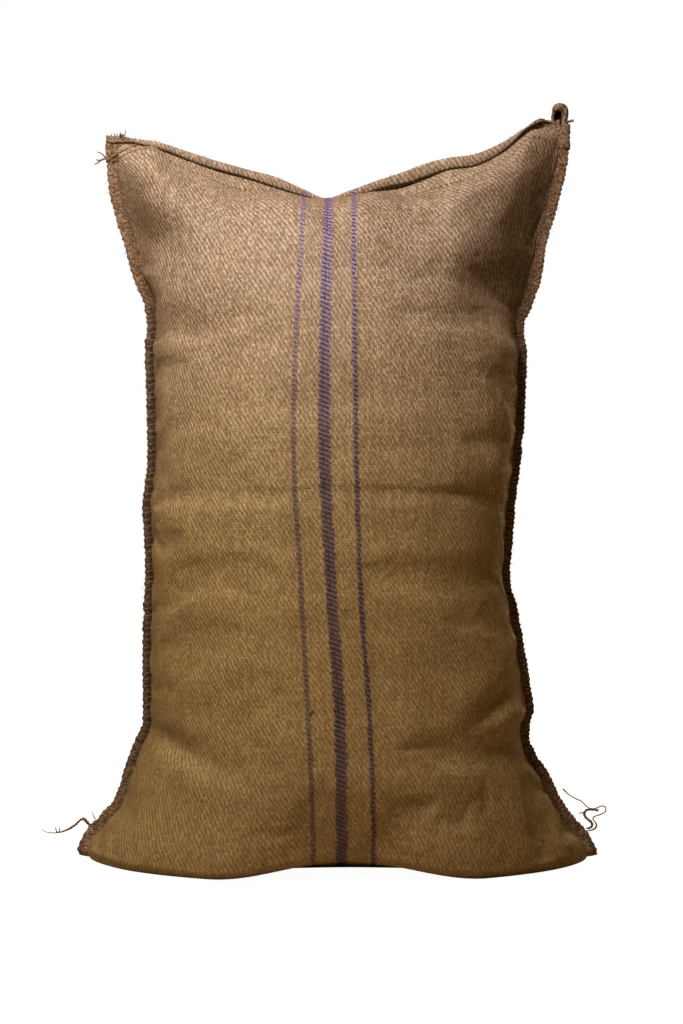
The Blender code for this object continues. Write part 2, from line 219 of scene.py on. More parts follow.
# The crest of the front, where it rolls back towards the mouth, and the width of the gap there:
# x, height of the crest as it shows from in front, width of the gap, how far up its shade reaches
CREST = np.array([
    (-0.2857, 0.8856, 0.0030, 0.0020),
    (-0.2730, 0.8919, 0.0034, 0.0024),
    (-0.2615, 0.8970, 0.0036, 0.0024),
    (-0.2474, 0.9008, 0.0036, 0.0024),
    (-0.2353, 0.9021, 0.0036, 0.0024),
    (-0.2105, 0.8856, 0.0040, 0.0030),
    (-0.1894, 0.8750, 0.0036, 0.0024),
    (-0.1684, 0.8678, 0.0036, 0.0026),
    (-0.1582, 0.8633, 0.0040, 0.0032),
    (-0.1365, 0.8526, 0.0040, 0.0032),
    (-0.1046, 0.8484, 0.0036, 0.0026),
    (-0.0625, 0.8437, 0.0030, 0.0020),
    (-0.0200, 0.8388, 0.0020, 0.0010),
    (0.0150, 0.8420, 0.0020, 0.0010),
    (0.0497, 0.8477, 0.0040, 0.0030),
    (0.0702, 0.8449, 0.0060, 0.0054),
    (0.0855, 0.8434, 0.0060, 0.0050),
    (0.1033, 0.8449, 0.0050, 0.0044),
    (0.1212, 0.8486, 0.0044, 0.0036),
    (0.1352, 0.8522, 0.0036, 0.0026),
    (0.1531, 0.8588, 0.0036, 0.0026),
    (0.1658, 0.8644, 0.0036, 0.0024),
    (0.1862, 0.8722, 0.0036, 0.0026),
    (0.2015, 0.8813, 0.0036, 0.0024),
    (0.2219, 0.8945, 0.0044, 0.0034),
    (0.2334, 0.9080, 0.0050, 0.0044),
    (0.2423, 0.9181, 0.0060, 0.0062),
    (0.2602, 0.9214, 0.0064, 0.0080),
    (0.2700, 0.9200, 0.0040, 0.0040),
    (0.2820, 0.9160, 0.0024, 0.0010),
])

# How the section changes up the sack: share of the way up, fullness, how late a row leaves the middle
SECTIONS = np.array([
    (0.00, 1.10, 3.0),
    (0.05, 1.02, 2.8),
    (0.12, 0.92, 2.6),
    (0.30, 0.82, 2.2),
    (0.60, 0.88, 2.0),
    (0.72, 1.12, 2.0),
    (0.82, 1.45, 1.9),
    (0.90, 1.70, 1.6),
    (1.00, 1.50, 1.1),
])

# Folds and hollows: x, height, half length, half width, turn in degrees, depth
FRONT_FOLDS = (
    (-0.240, 0.794, 0.022, 0.032, 53, -0.0227),
    (-0.218, 0.705, 0.090, 0.031, 8, -0.0163),
    (-0.245, 0.860, 0.097, 0.035, -51, -0.0260),
    (-0.246, 0.860, 0.092, 0.036, 128, -0.0260),
    (0.219, 0.846, 0.028, 0.060, 105, -0.0073),
    (0.214, 0.889, 0.100, 0.025, 38, -0.0332),
    (0.195, 0.708, 0.046, 0.032, -4, 0.0266),
    (0.103, 0.809, 0.100, 0.041, 61, 0.010),
    (0.156, 0.736, 0.100, 0.046, 19, 0.007),
    (0.120, 0.750, 0.085, 0.060, 60, -0.005),
    (0.224, 0.350, 0.260, 0.030, 90, -0.011),
    (0.100, 0.463, 0.120, 0.009, 0, 0.0020),
    (0.185, 0.458, 0.040, 0.014, -8, 0.003),
    (-0.205, 0.458, 0.035, 0.014, 12, 0.005),
    (-0.200, 0.155, 0.050, 0.015, -20, 0.017),
    (0.190, 0.205, 0.060, 0.016, 38, 0.014),
    (0.225, 0.160, 0.030, 0.011, 15, 0.013),
    (0.210, 0.362, 0.020, 0.014, 0, 0.004),
)
BACK_FOLDS = (
    (-0.240, 0.800, 0.080, 0.026, 100, 0.022),
    (-0.180, 0.760, 0.070, 0.018, -28, 0.010),
    (-0.205, 0.690, 0.045, 0.012, 6, 0.015),
    (0.245, 0.800, 0.075, 0.024, 82, 0.020),
    (0.200, 0.690, 0.050, 0.012, -8, 0.015),
    (0.180, 0.745, 0.055, 0.014, -20, -0.006),
    (-0.120, 0.462, 0.085, 0.011, -2, 0.006),
    (0.190, 0.452, 0.045, 0.013, 3, 0.010),
    (-0.195, 0.200, 0.055, 0.015, -35, 0.011),
    (0.200, 0.170, 0.050, 0.014, 25, 0.013),
)

# The slack wedge of cloth between each shoulder and its seam: a steep fall to the seam, over a valley that
# runs down to it from the middle: side, slope of the fall, softness, the valley's inner x and z, its outer
# x and z
WEDGES = (
    (-1, 2.20, 0.0072, -0.150, 0.731, -0.250, 0.732),
    (1, 0.91, 0.0030, 0.136, 0.717, 0.240, 0.677),
)

# Where the three stripes run down the front: height, left narrow x, wide x, right narrow x
STRIPES = np.array([
    (0.000, -0.0290, 0.0050, 0.0430),
    (0.100, -0.0300, 0.0040, 0.0420),
    (0.200, -0.0350, 0.0030, 0.0375),
    (0.330, -0.0420, -0.0060, 0.0280),
    (0.400, -0.0460, -0.0100, 0.0250),
    (0.480, -0.0510, -0.0145, 0.0225),
    (0.560, -0.0520, -0.0160, 0.0215),
    (0.690, -0.0480, -0.0140, 0.0200),
    (0.780, -0.0430, -0.0120, 0.0195),
    (0.835, -0.0420, -0.0110, 0.0195),
])

# Small holes and dark bits of bark on the front: x, height, strength
DARK_MARKS = (
    (-0.0314, 0.206, 0.90),
    (-0.1926, 0.4455, 0.60),
    (-0.2167, 0.4562, 0.40),
    (-0.2073, 0.5651, 0.40),
    (0.1508, 0.7540, 0.60),
    (0.1710, 0.7613, 0.60),
    (0.0605, 0.7465, 0.55),
    (-0.0445, 0.7239, 0.45),
)

# Loose ends of the sewing twine: x, y, height
LEFT_TWINE = (
    (-0.3173, 0.001, 0.0391),
    (-0.3215, 0.001, 0.0445),
    (-0.3245, 0.000, 0.0478),
    (-0.3285, 0.000, 0.0462),
    (-0.3355, -0.001, 0.0398),
    (-0.3440, -0.002, 0.0345),
    (-0.3530, -0.003, 0.0311),
    (-0.3620, -0.003, 0.0297),
    (-0.3710, -0.003, 0.0305),
    (-0.3795, -0.002, 0.0345),
)
RIGHT_TWINE = (
    (0.3172, -0.001, 0.0352),
    (0.3222, -0.002, 0.0362),
    (0.3246, -0.002, 0.0390),
    (0.3238, -0.002, 0.0428),
    (0.3200, -0.001, 0.0462),
    (0.3160, 0.000, 0.0500),
    (0.3148, 0.000, 0.0545),
    (0.3172, -0.001, 0.0583),
    (0.3215, -0.001, 0.0592),
    (0.3265, -0.001, 0.0588),
    (0.3323, -0.001, 0.0584),
)
RIGHT_YARN = (
    (0.3191, 0.0010, 0.0317),
    (0.3245, 0.0030, 0.0322),
    (0.3290, 0.0035, 0.0345),
    (0.3308, 0.0030, 0.0385),
    (0.3290, 0.0020, 0.0425),
    (0.3262, 0.0010, 0.0462),
    (0.3266, -0.0010, 0.0498),
    (0.3305, -0.0030, 0.0518),
    (0.3360, -0.0040, 0.0540),
    (0.3412, -0.0050, 0.0580),
    (0.3412, -0.0050, 0.0628),
    (0.3370, -0.0050, 0.0646),
    (0.3320, -0.0050, 0.0628),
    (0.3265, -0.0050, 0.0610),
    (0.3205, -0.0050, 0.0618),
    (0.3160, -0.0040, 0.0650),
    (0.3110, -0.0030, 0.0700),
    (0.3035, -0.0030, 0.0735),
    (0.2945, -0.0030, 0.0790),
    (0.2870, -0.0040, 0.0860),
)

# Each loose end: its name, route and diameter, and how full it is at these shares of its length
LOOSE_ENDS = (
    ("twine_end_left", LEFT_TWINE, TWINE, ((0, 0.1, 0.45, 0.7, 1), (1.3, 1.0, 1.2, 0.6, 0.3))),
    ("twine_end_right", RIGHT_TWINE, TWINE, ((0, 0.2, 0.7, 0.9, 1), (0.9, 1.25, 1.15, 0.9, 1.3))),
    ("yarn_end_right", RIGHT_YARN, YARN, ((0, 0.1, 0.2, 0.9, 1), (0.9, 1.5, 1.0, 0.9, 1.2))),
)

# The rolled tip of the hem: x, y, height and half thickness along its curl, its hollow and its cut yarn
TIP_CURL = (
    (0.2790, -0.0010, 0.9300, 0.0026),
    (0.2745, -0.0020, 0.9345, 0.0014),
    (0.2730, -0.0025, 0.9410, 0.0012),
    (0.2735, -0.0030, 0.9465, 0.0018),
    (0.2762, -0.0040, 0.9520, 0.0046),
    (0.2815, -0.0040, 0.9540, 0.0052),
    (0.2870, -0.0030, 0.9525, 0.0052),
    (0.2890, -0.0010, 0.9460, 0.0042),
    (0.2882, 0.0000, 0.9390, 0.0038),
    (0.2880, 0.0000, 0.9310, 0.0048),
    (0.2880, 0.0000, 0.9240, 0.0052),
)
TIP_HOLLOW = (0.2792, 0.9420, 0.0078, 0.0110)
TIP_YARN = (
    (0.2905, 0.0000, 0.9350),
    (0.2940, 0.0000, 0.9362),
    (0.2975, -0.0005, 0.9372),
    (0.3000, -0.0010, 0.9368),
)

# The hem's doubled ends: inner x, its low and high edges, outer x, its low and high edges
LEFT_CORNER = (-0.2600, 0.8965, 0.9140, -0.2955, 0.8840, 0.9190)
RIGHT_CORNER = (0.2620, 0.9040, 0.9320, 0.2950, 0.9000, 0.9330)

# The rows of stitches that hold the hem's left end: from x and height, to x and height, how many stitches
CORNER_ROWS = (
    (-0.2895, 0.9090, -0.2620, 0.9100, 11),
    (-0.2880, 0.8850, -0.2380, 0.9015, 19),
    (-0.2870, 0.8905, -0.2560, 0.9060, 10),
)

# Frayed ends: how thick, and a few places along each
FRAYS = (
    (0.0013, (-0.2925, -0.001, 0.8900), (-0.2965, -0.002, 0.8915), (-0.3010, -0.002, 0.8955),
     (-0.3060, -0.003, 0.8972)),
    (0.0016, (-0.2925, -0.001, 0.8900), (-0.2975, -0.002, 0.8885), (-0.3040, -0.003, 0.8865),
     (-0.3075, -0.003, 0.8875)),
    (0.0015, (-0.3000, -0.002, 0.8880), (-0.3040, -0.003, 0.8850), (-0.3070, -0.003, 0.8825),
     (-0.3098, -0.003, 0.8815)),
    (0.0011, (-0.3590, -0.003, 0.0300), (-0.3600, -0.003, 0.0335), (-0.3606, -0.003, 0.0372)),
    (0.0010, (-0.3565, -0.003, 0.0305), (-0.3555, -0.003, 0.0340), (-0.3558, -0.003, 0.0370)),
    (0.0009, (-0.3100, 0.000, 0.0470), (-0.3125, 0.000, 0.0510), (-0.3140, 0.000, 0.0565)),
    (0.0013, (-0.3200, 0.001, 0.0400), (-0.3235, 0.001, 0.0440), (-0.3275, 0.000, 0.0462),
     (-0.3300, 0.000, 0.0440)),
    (0.0011, (0.3150, -0.001, 0.0545), (0.3110, -0.002, 0.0552), (0.3068, -0.003, 0.0548)),
)


def smooth_line(at, known_at, known):
    """Read a smooth line through known points, with each slope taken from the neighbours."""
    slopes = np.gradient(known, known_at)
    at = np.clip(at, known_at[0], known_at[-1])
    piece = np.clip(np.searchsorted(known_at, at, side="right") - 1, 0, len(known_at) - 2)
    step = known_at[piece + 1] - known_at[piece]
    u = (at - known_at[piece]) / step
    start = known[piece] * (1 + 2 * u) * (1 - u) ** 2 + slopes[piece] * step * u * (1 - u) ** 2
    end = known[piece + 1] * (3 - 2 * u) * u**2 - slopes[piece + 1] * step * u**2 * (1 - u)
    return start + end


def column_of(table, column, at):
    """Read one column of a table at a value of its first column."""
    return smooth_line(at, table[:, 0], table[:, column])


def lengths_of(points):
    """How far each point of a line lies along it."""
    return np.concatenate([[0.0], np.cumsum(np.linalg.norm(np.diff(points, axis=0), axis=1))])


def unit(directions):
    """These directions, each with a length of 1."""
    return directions / np.maximum(np.linalg.norm(directions, axis=-1, keepdims=True), 1e-12)


def joined(*values):
    """One grid from values that may be single numbers, rows, columns or grids."""
    return np.stack(np.broadcast_arrays(*values), axis=-1)


def doubled(rows):
    """Rows with the first and the last one twice."""
    return np.concatenate([rows[:1], rows, rows[-1:]])


def shut(rings, middles):
    """Rings of places, with one more at each end that is drawn in to the middle."""
    rings = doubled(rings)
    rings[0], rings[-1] = middles[0], middles[-1]
    return rings


def read_line(at, length, line):
    """The places at these distances along a line of points."""
    return np.stack([np.interp(at, length, line[:, axis]) for axis in range(3)], axis=-1)


def along(points, share):
    """Walk a line of points smoothly and give the places at these shares of its length."""
    lengths = lengths_of(points)
    at = share * lengths[-1]
    return [smooth_line(at, lengths, points[:, axis]) for axis in range(points.shape[1])]


def smooth_step(x):
    x = np.clip(x, 0.0, 1.0)
    return x * x * (3 - 2 * x)


def bump(x):
    """1 at the middle, falling softly to 0 at -1 and 1."""
    return np.cos(np.clip(x, -1.0, 1.0) * math.pi / 2) ** 2


def rim_line(side, share):
    """The outer rim of a side's binding at these shares of the way up, and which way is outward there."""
    rim_column, depth_column = (1, 3) if side < 0 else (2, 4)
    low, top = RIMS[0, 0], LEFT_TOP if side < 0 else RIGHT_TOP
    z = low + (top - low) * share
    above = np.minimum(z + RIM_REACH, top)
    below = np.maximum(z - RIM_REACH, low)
    run = column_of(RIMS, rim_column, above) - column_of(RIMS, rim_column, below)
    run = run * smooth_step(share / LEVEL_END)
    climb = above - below
    length = np.hypot(run, climb)
    outward = (side * climb / length, -side * run / length)
    return (column_of(RIMS, rim_column, z), column_of(RIMS, depth_column, z), z), outward


def cloth_edge(side, share):
    """Where the cloth enters a side's binding: x, y and z at these shares of the way up."""
    (x, y, z), (outward_x, outward_z) = rim_line(side, share)
    return x - outward_x * BINDING_WIDTH, y, z - outward_z * BINDING_WIDTH


def floor_height(x, y):
    """How far the bottom stands off the floor: at the corners and between the two front lobes."""
    corner = CORNER_LIFT * smooth_step((np.abs(x) - 0.25) / 0.07)
    between_lobes = bump((x - ARCH_MIDDLE) / ARCH_HALF_WIDTH)
    in_front = smooth_step((-y - ARCH_START) / ARCH_DEPTH)
    return corner + ARCH_HEIGHT * between_lobes * in_front


def folded(x, z, folds):
    """How far the folds and hollows draw the cloth in at each place."""
    drawn = np.zeros_like(x)
    for fold_x, fold_z, half_length, half_width, turn, depth in folds:
        angle = math.radians(turn)
        lengthwise = (x - fold_x) * math.cos(angle) + (z - fold_z) * math.sin(angle)
        across = (z - fold_z) * math.cos(angle) - (x - fold_x) * math.sin(angle)
        drawn += depth * np.exp(-((lengthwise / half_length) ** 2) - (across / half_width) ** 2)
    return drawn


def row_height(middle_z, edge_rise, sine, leaving):
    """The height along a row that runs from the middle line to the seam."""
    return middle_z + (edge_rise - middle_z) * np.abs(sine) ** leaving


def wedged(x, y, z, root_y, edge_x):
    """The front's depth with the slack wedge beside each ear pressed in."""
    for side, slope, softness, inner_x, inner_z, outer_x, outer_z in WEDGES:
        fall = root_y + slope * side * (x - edge_x)
        rounding = 0.001 + softness * smooth_step(side * (edge_x - x) / 0.04)
        pressed = 0.5 * (y + fall + np.sqrt((y - fall) ** 2 + rounding**2))
        valley = inner_z + (outer_z - inner_z) * (x - inner_x) / (outer_x - inner_x)
        share = smooth_step((z - valley) / 0.012) * smooth_step((0.905 - z) / 0.035)
        share = share * smooth_step((side * x - 0.11) / 0.03)
        y = y + (np.minimum(pressed, root_y) - y) * share
    return y


def panel(front, across, up):
    """One panel of the sack as a grid of places, for shares across (-1 to 1) and up (0 to 1)."""
    towards = -1 if front else 1
    profile = FRONT_PROFILE if front else BACK_PROFILE
    sine = np.sin(across * math.pi / 2)
    cosine = np.clip(np.cos(across * math.pi / 2), 0.0, 1.0)

    def edges(share):
        return [np.where(across < 0, a, b) for a, b in zip(cloth_edge(-1, share), cloth_edge(1, share))]

    middle_y, middle_z = along(profile, up)
    middle_x = column_of(MIDDLE_LINE, 1, middle_z)
    edge_x, edge_y, edge_z = edges(up)
    foot = edges(0 * up)[2]
    x = middle_x + (edge_x - middle_x) * np.abs(sine)
    root_y = edge_y + towards * EDGE_THICKNESS / 2
    y = root_y + (middle_y - root_y) * cosine ** column_of(SECTIONS, 1, up)
    z = row_height(middle_z, edge_z - foot, sine, column_of(SECTIONS, 2, up))

    mouth_x, _, mouth_z = edges(0 * up + 1)
    mouth_x = MIDDLE_LINE[-1, 1] + (mouth_x - MIDDLE_LINE[-1, 1]) * np.abs(sine)
    mouth = column_of(MOUTH, 1 if front else 2, mouth_x)
    plain_mouth = row_height(profile[-1, 1], mouth_z - foot, sine, SECTIONS[-1, 2])
    z += (mouth - plain_mouth) * smooth_step((up - 0.80) / 0.20) ** 2
    z += floor_height(x, y) * smooth_step(1 - up / 0.14)
    if front:
        y += ARCH_RETREAT * bump((x - ARCH_MIDDLE) / ARCH_HALF_WIDTH) * smooth_step(1 - up / 0.16)

    drawn = folded(x, z, FRONT_FOLDS if front else BACK_FOLDS)
    drawn *= smooth_step(up / 0.08) * smooth_step((1 - up) / 0.10) * (1 - across**16)
    room = np.abs(y - edge_y) - EDGE_THICKNESS / 2
    y -= towards * np.minimum(drawn, MOST_DRAWN * np.maximum(room, 0.0))
    if front:
        y = wedged(x, y, z, root_y, edge_x)
    return joined(x, y, z)


def walked(places):
    """How far each place of a grid lies up its column."""
    steps = np.linalg.norm(np.diff(places, axis=0), axis=-1)
    return np.concatenate([np.zeros((1, places.shape[1])), np.cumsum(steps, axis=0)])


def from_mouth(places):
    """How far each place of a grid lies down its column."""
    climb = walked(places)
    return climb[-1] - climb


def outward_of(places, front):
    """The unit normals of a panel's grid, pointing out of the sack."""
    across, up = np.gradient(places, axis=1), np.gradient(places, axis=0)
    return unit(np.cross(across, up) if front else np.cross(up, across))


def ripples(x, z, shortest, longest, seed):
    """Soft uneven waves of these lengths, about -1 to 1."""
    chance = np.random.default_rng(seed)
    total = np.zeros_like(x)
    for _ in range(WAVES):
        length = chance.uniform(shortest, longest)
        turn, start = chance.uniform(0, 2 * math.pi, 2)
        total += np.sin(2 * math.pi * (x * math.cos(turn) + z * math.sin(turn)) / length + start)
    return total / math.sqrt(WAVES)


def filled(places):
    """1 where the filling presses on the cloth, and little in the slack ears."""
    ear = smooth_step((places[..., 2] - 0.67) / 0.06) * smooth_step((np.abs(places[..., 0]) - 0.10) / 0.05)
    return (1 - 0.85 * ear)[..., None]


def roll_back(places):
    """Lower the front behind its crest, so that the hem stands up behind the filled cloth."""
    from_lip = from_mouth(places)
    edge = 1 - np.abs(np.linspace(-1, 1, places.shape[1])) ** 24
    places[..., 2] -= HEM_DIP * bump((from_lip - HEM) / 0.014) * edge
    shown = EYE_HEIGHT + (places[..., 2] - EYE_HEIGHT) * EYE_DISTANCE / (EYE_DISTANCE + places[..., 1])
    beyond = np.where((from_lip > HEM) & (from_lip < 0.30), shown, 0.0)
    excess = beyond.max(axis=0) - column_of(CREST, 1, places[-1, :, 0])
    share = smooth_step(from_lip / HEM) * smooth_step((0.27 - from_lip) / 0.15)
    places[..., 2] -= excess * share * edge
    return places


def puckered(places, front, seed):
    """Gather the cloth along both seams, let the filling show as soft lumps, and press in a crease."""
    across = np.linspace(-1, 1, places.shape[1])
    up = np.linspace(0, 1, places.shape[0])[:, None]
    from_seam = (1 - np.abs(across)) * HALF_WIDTH
    climb = walked(places)
    side = np.where(across < 0, 0.0, 1.7)
    drift = 0.9 * np.sin(climb / 0.071 + seed + side) + 0.35 * from_seam / 0.02
    gathers = 0.6 * np.sin(climb / 0.0082 + drift) + 0.5 * np.sin(climb / 0.0135 + 1.7 * drift + side)
    reach = np.exp(-((from_seam / 0.042) ** 2)) * (1 - np.exp(-((from_seam / 0.007) ** 2)))
    inner = smooth_step(up / 0.06) * smooth_step((1 - up) / 0.06)
    moved = 0.0016 * gathers * reach * inner
    middle = smooth_step(from_seam / 0.05) * smooth_step(up / 0.12) * smooth_step((1 - up) / 0.16)
    moved += 0.0011 * ripples(places[..., 0], places[..., 2], 0.05, 0.16, seed) * middle
    crease_z = 0.4665 + 0.0016 * np.sin(places[..., 0] / 0.045 + seed)
    off_crease = places[..., 2] - crease_z
    depth = 0.0006 + 0.0005 * smooth_step((places[..., 0] + 0.05) / 0.2)
    ridge = 0.5 * np.exp(-(((off_crease - 0.007) / 0.006) ** 2))
    moved += depth * (ridge - np.exp(-((off_crease / 0.0028) ** 2)))
    return places + outward_of(places, front) * moved[..., None]


def weave_of(places, front):
    """Each place's distance across and along the cloth, in metres, which its weave is drawn in."""
    half = places.shape[1] // 2
    steps = np.linalg.norm(np.diff(places, axis=1), axis=-1)
    u = np.concatenate([np.zeros((len(places), 1)), np.cumsum(steps, axis=1)], axis=1)
    u -= u[:, half][:, None]
    v = walked(places)[:, half][:, None] + 0 * u
    if not front:
        return joined(-u, v + 3.003)
    z = places[..., 2]
    known = [column_of(STRIPES, column, z) for column in (1, 2, 3)]
    shift = []
    for line, wanted in zip(known, (-STRIPE_SPACING, 0.0, STRIPE_SPACING)):
        at_line = [np.interp(line[row, half], places[row, :, 0], u[row]) for row in range(len(places))]
        shift.append(wanted - np.array(at_line))
    anchors = np.array([-0.16, -STRIPE_SPACING, 0.0, STRIPE_SPACING, 0.16])
    added = np.empty_like(u)
    for row in range(len(places)):
        offsets = [0.0, shift[0][row], shift[1][row], shift[2][row], 0.0]
        added[row] = np.interp(u[row], anchors - np.array(offsets), offsets)
    return joined(u + added, v)


class Surface:
    """Grids of places that become one welded mesh, with the weave and the shade as its maps."""

    def __init__(self):
        self.places, self.faces, self.weave, self.shade = [], [], [], []
        self.count = 0

    def grid(self, places, weave, shade=0.0, flip=False):
        """Add rows of places; seen from outside, columns run right and rows run up unless it is flipped."""
        rows, columns = places.shape[:2]
        index = self.count + np.arange(rows * columns).reshape(rows, columns)
        corners = [index[:-1, :-1], index[:-1, 1:], index[1:, 1:], index[1:, :-1]]
        if flip:
            corners = corners[::-1]
        self.faces.append(np.stack(corners, axis=-1).reshape(-1, 4))
        self.places.append(places.reshape(-1, 3))
        self.weave.append(np.broadcast_to(weave, (rows, columns, 2)).reshape(-1, 2))
        self.shade.append(joined(shade, np.zeros((rows, columns))).reshape(-1, 2))
        self.count += rows * columns

    def finished(self, name, finish):
        places, faces = np.concatenate(self.places), np.concatenate(self.faces)
        mesh = bpy.data.meshes.new(name)
        mesh.from_pydata(places.tolist(), [], faces.tolist())
        for layer, values in (("weave", self.weave), ("shade", self.shade)):
            map_of = mesh.uv_layers.new(name=layer)
            map_of.data.foreach_set("uv", np.concatenate(values)[faces.ravel()].astype(np.float32).ravel())
        builder = bmesh.new()
        builder.from_mesh(mesh)
        bmesh.ops.remove_doubles(builder, verts=builder.verts[:], dist=1e-6)
        builder.to_mesh(mesh)
        builder.free()
        mesh.shade_smooth()
        made = bpy.data.objects.new(name, mesh)
        made.data.materials.append(finish)
        bpy.context.scene.collection.objects.link(made)
        return made


def placed(obj, slot, *nodes):
    """Fix a finished piece to the sack, in place of these solids."""
    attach(obj, "root")
    if nodes:
        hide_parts(*nodes)
    return obj


def blurred(values, cells):
    """Smooth a grid over about this many cells each way."""
    for axis in (0, 1):
        for _ in range(3):
            size = values.shape[axis]
            total = np.zeros_like(values)
            weight = 0.0
            for step in range(-cells, cells + 1):
                index = np.clip(np.arange(size) + step, 0, size - 1)
                share = 1 - abs(step) / (cells + 1)
                total += share * np.take(values, index, axis=axis)
                weight += share
            values = total / weight
    return values


def finer(values, sizes):
    """Read a coarse grid at a finer one's places."""
    for axis, size in enumerate(sizes):
        at = np.linspace(0, values.shape[axis] - 1, size)
        low = np.minimum(at.astype(int), values.shape[axis] - 2)
        share = (at - low).reshape((-1, 1, 1)[: 3 - axis])
        values = np.take(values, low, axis) * (1 - share) + np.take(values, low + 1, axis) * share
    return values


def closed_cloth(panels):
    """A front and a back panel joined all round, as one mesh for the simulation."""
    builder = bmesh.new()
    grids = [[[builder.verts.new(place) for place in row] for row in places] for places in panels]
    for grid, order in zip(grids, (1, -1)):
        for lower, upper in zip(grid, grid[1:]):
            for quad in zip(lower, lower[1:], upper[1:], upper):
                builder.faces.new(quad[::order])
    sides = [list(zip(*grid)) for grid in grids]
    for end, order in ((0, 1), (-1, -1)):
        near, far = sides[0][end], sides[1][end]
        for quad in zip(near, near[1:], far[1:], far):
            builder.faces.new(quad[::order])
    for end, order in ((0, 1), (-1, -1)):
        near, far = grids[0][end], grids[1][end]
        for quad in zip(near, far, far[1:], near[1:]):
            builder.faces.new(quad[::order])
    mesh = bpy.data.meshes.new("settling")
    builder.to_mesh(mesh)
    builder.free()
    cloth = bpy.data.objects.new("settling", mesh)
    bpy.context.scene.collection.objects.link(cloth)
    return cloth


def settled(front, back):
    """Blow the sack up a little as simulated cloth, held at its edges, and give each panel's small moves."""
    coarse = [front[::2, ::2], back[::2, ::2]]
    rows, columns = coarse[0].shape[:2]
    cloth = closed_cloth(coarse)
    row, column = np.indices((rows, columns))
    held = (column % (columns - 1) == 0) | (row < HELD_BELOW) | (row >= rows - HELD_ABOVE)
    group = cloth.vertex_groups.new(name="held")
    group.add(np.flatnonzero([held, held]).tolist(), 1.0, "REPLACE")
    settings = cloth.modifiers.new("cloth", "CLOTH").settings
    for name, value in (
        ("quality", 6),
        ("mass", 0.3),
        ("tension_stiffness", 30),
        ("compression_stiffness", 30),
        ("shear_stiffness", 12),
        ("bending_stiffness", 0.25),
        ("vertex_group_mass", "held"),
        ("use_pressure", True),
        ("uniform_pressure_force", 4),
        ("shrink_min", -0.035),
    ):
        setattr(settings, name, value)
    settings.effector_weights.gravity = 0
    scene = bpy.context.scene
    for step in range(1, SETTLE_STEPS + 1):
        scene.frame_set(step)
    shaped = cloth.evaluated_get(bpy.context.evaluated_depsgraph_get()).data
    found = np.empty(len(shaped.vertices) * 3, np.float32)
    shaped.vertices.foreach_get("co", found)
    scene.frame_set(1)
    found = found.reshape(2, rows, columns, 3).astype(float)
    bpy.data.objects.remove(cloth, do_unlink=True)
    moves = []
    for start, end in zip(coarse, found):
        moved = end - start
        moved = moved - blurred(moved, 5)
        size = np.linalg.norm(moved, axis=-1, keepdims=True)
        moved *= np.tanh(size / SETTLE_CAP) * SETTLE_CAP / np.maximum(size, 1e-9)
        moves.append(finer(moved, front.shape[:2]))
    return moves


class Graph:
    """Writes a material's node tree as sums."""

    def __init__(self, name, rough):
        self.material = bpy.data.materials.new(name)
        self.material.use_nodes = True
        self.tree = self.material.node_tree
        self.shader = self.tree.nodes["Principled BSDF"]
        self.shader.inputs["Roughness"].default_value = rough
        self.shader.inputs["Specular IOR Level"].default_value = 0.15

    def node(self, kind, values=(), **settings):
        made = self.tree.nodes.new(kind)
        for name, value in settings.items():
            setattr(made, name, value)
        for socket, value in values:
            self.join(made.inputs[socket], value)
        return made

    def join(self, socket, value):
        if isinstance(value, Term):
            value = value.socket
        if isinstance(value, bpy.types.NodeSocket):
            self.tree.links.new(value, socket)
        else:
            socket.default_value = value

    def math(self, kind, *values):
        return self.term("ShaderNodeMath", enumerate(values), operation=kind)

    def map_of(self, layer):
        given = self.node("ShaderNodeUVMap", uv_map=layer).outputs[0]
        split = self.node("ShaderNodeSeparateXYZ", [(0, given)])
        return [Term(self, output) for output in split.outputs[:2]]

    def point(self, x, y, z=0.0):
        return self.node("ShaderNodeCombineXYZ", [(0, x), (1, y), (2, z)]).outputs[0]

    def term(self, kind, values, **settings):
        return Term(self, self.node(kind, values, **settings).outputs[0])

    def noise(self, x, y, z=0.0, detail=2.0, rough=0.5):
        values = [("Vector", self.point(x, y, z)), ("Scale", 1.0), ("Detail", detail), ("Roughness", rough)]
        return self.term("ShaderNodeTexNoise", values)

    def chance(self, value):
        return self.term("ShaderNodeTexWhiteNoise", [("W", value)], noise_dimensions="1D")

    def chance_of_cell(self, x, y):
        return self.term("ShaderNodeTexWhiteNoise", [("Vector", self.point(x, y))], noise_dimensions="2D")

    def between(self, value, low, high):
        values = [(0, value), (1, low), (2, high)]
        return self.term("ShaderNodeMapRange", values, interpolation_type="SMOOTHSTEP")

    def mix(self, share, first, second, blend="MIX"):
        made = self.node("ShaderNodeMix", data_type="RGBA", blend_type=blend)
        for number, value in ((0, share), (6, first), (7, second)):
            if isinstance(value, tuple):
                value = (*value, 1.0)
            self.join(made.inputs[number], value)
        return made.outputs[2]

    def shaded(self, colour, amount):
        return self.mix(1.0, colour, self.point(amount, amount, amount), "MULTIPLY")

    def finish(self, colour, height, distance, sheen=0.0):
        self.join(self.shader.inputs["Base Color"], colour)
        raised = self.node("ShaderNodeBump", [("Height", height)])
        raised.inputs["Distance"].default_value = distance
        self.tree.links.new(raised.outputs[0], self.shader.inputs["Normal"])
        self.shader.inputs["Sheen Weight"].default_value = sheen
        self.shader.inputs["Sheen Roughness"].default_value = 0.4
        self.shader.inputs["Sheen Tint"].default_value = (1.0, 0.93, 0.86, 1.0)
        return self.material


def operation(kind, turned=False):
    """A method of a term that adds one sum to the material."""

    def method(self, *others):
        return self.graph.math(kind, *((*others, self) if turned else (self, *others)))

    return method


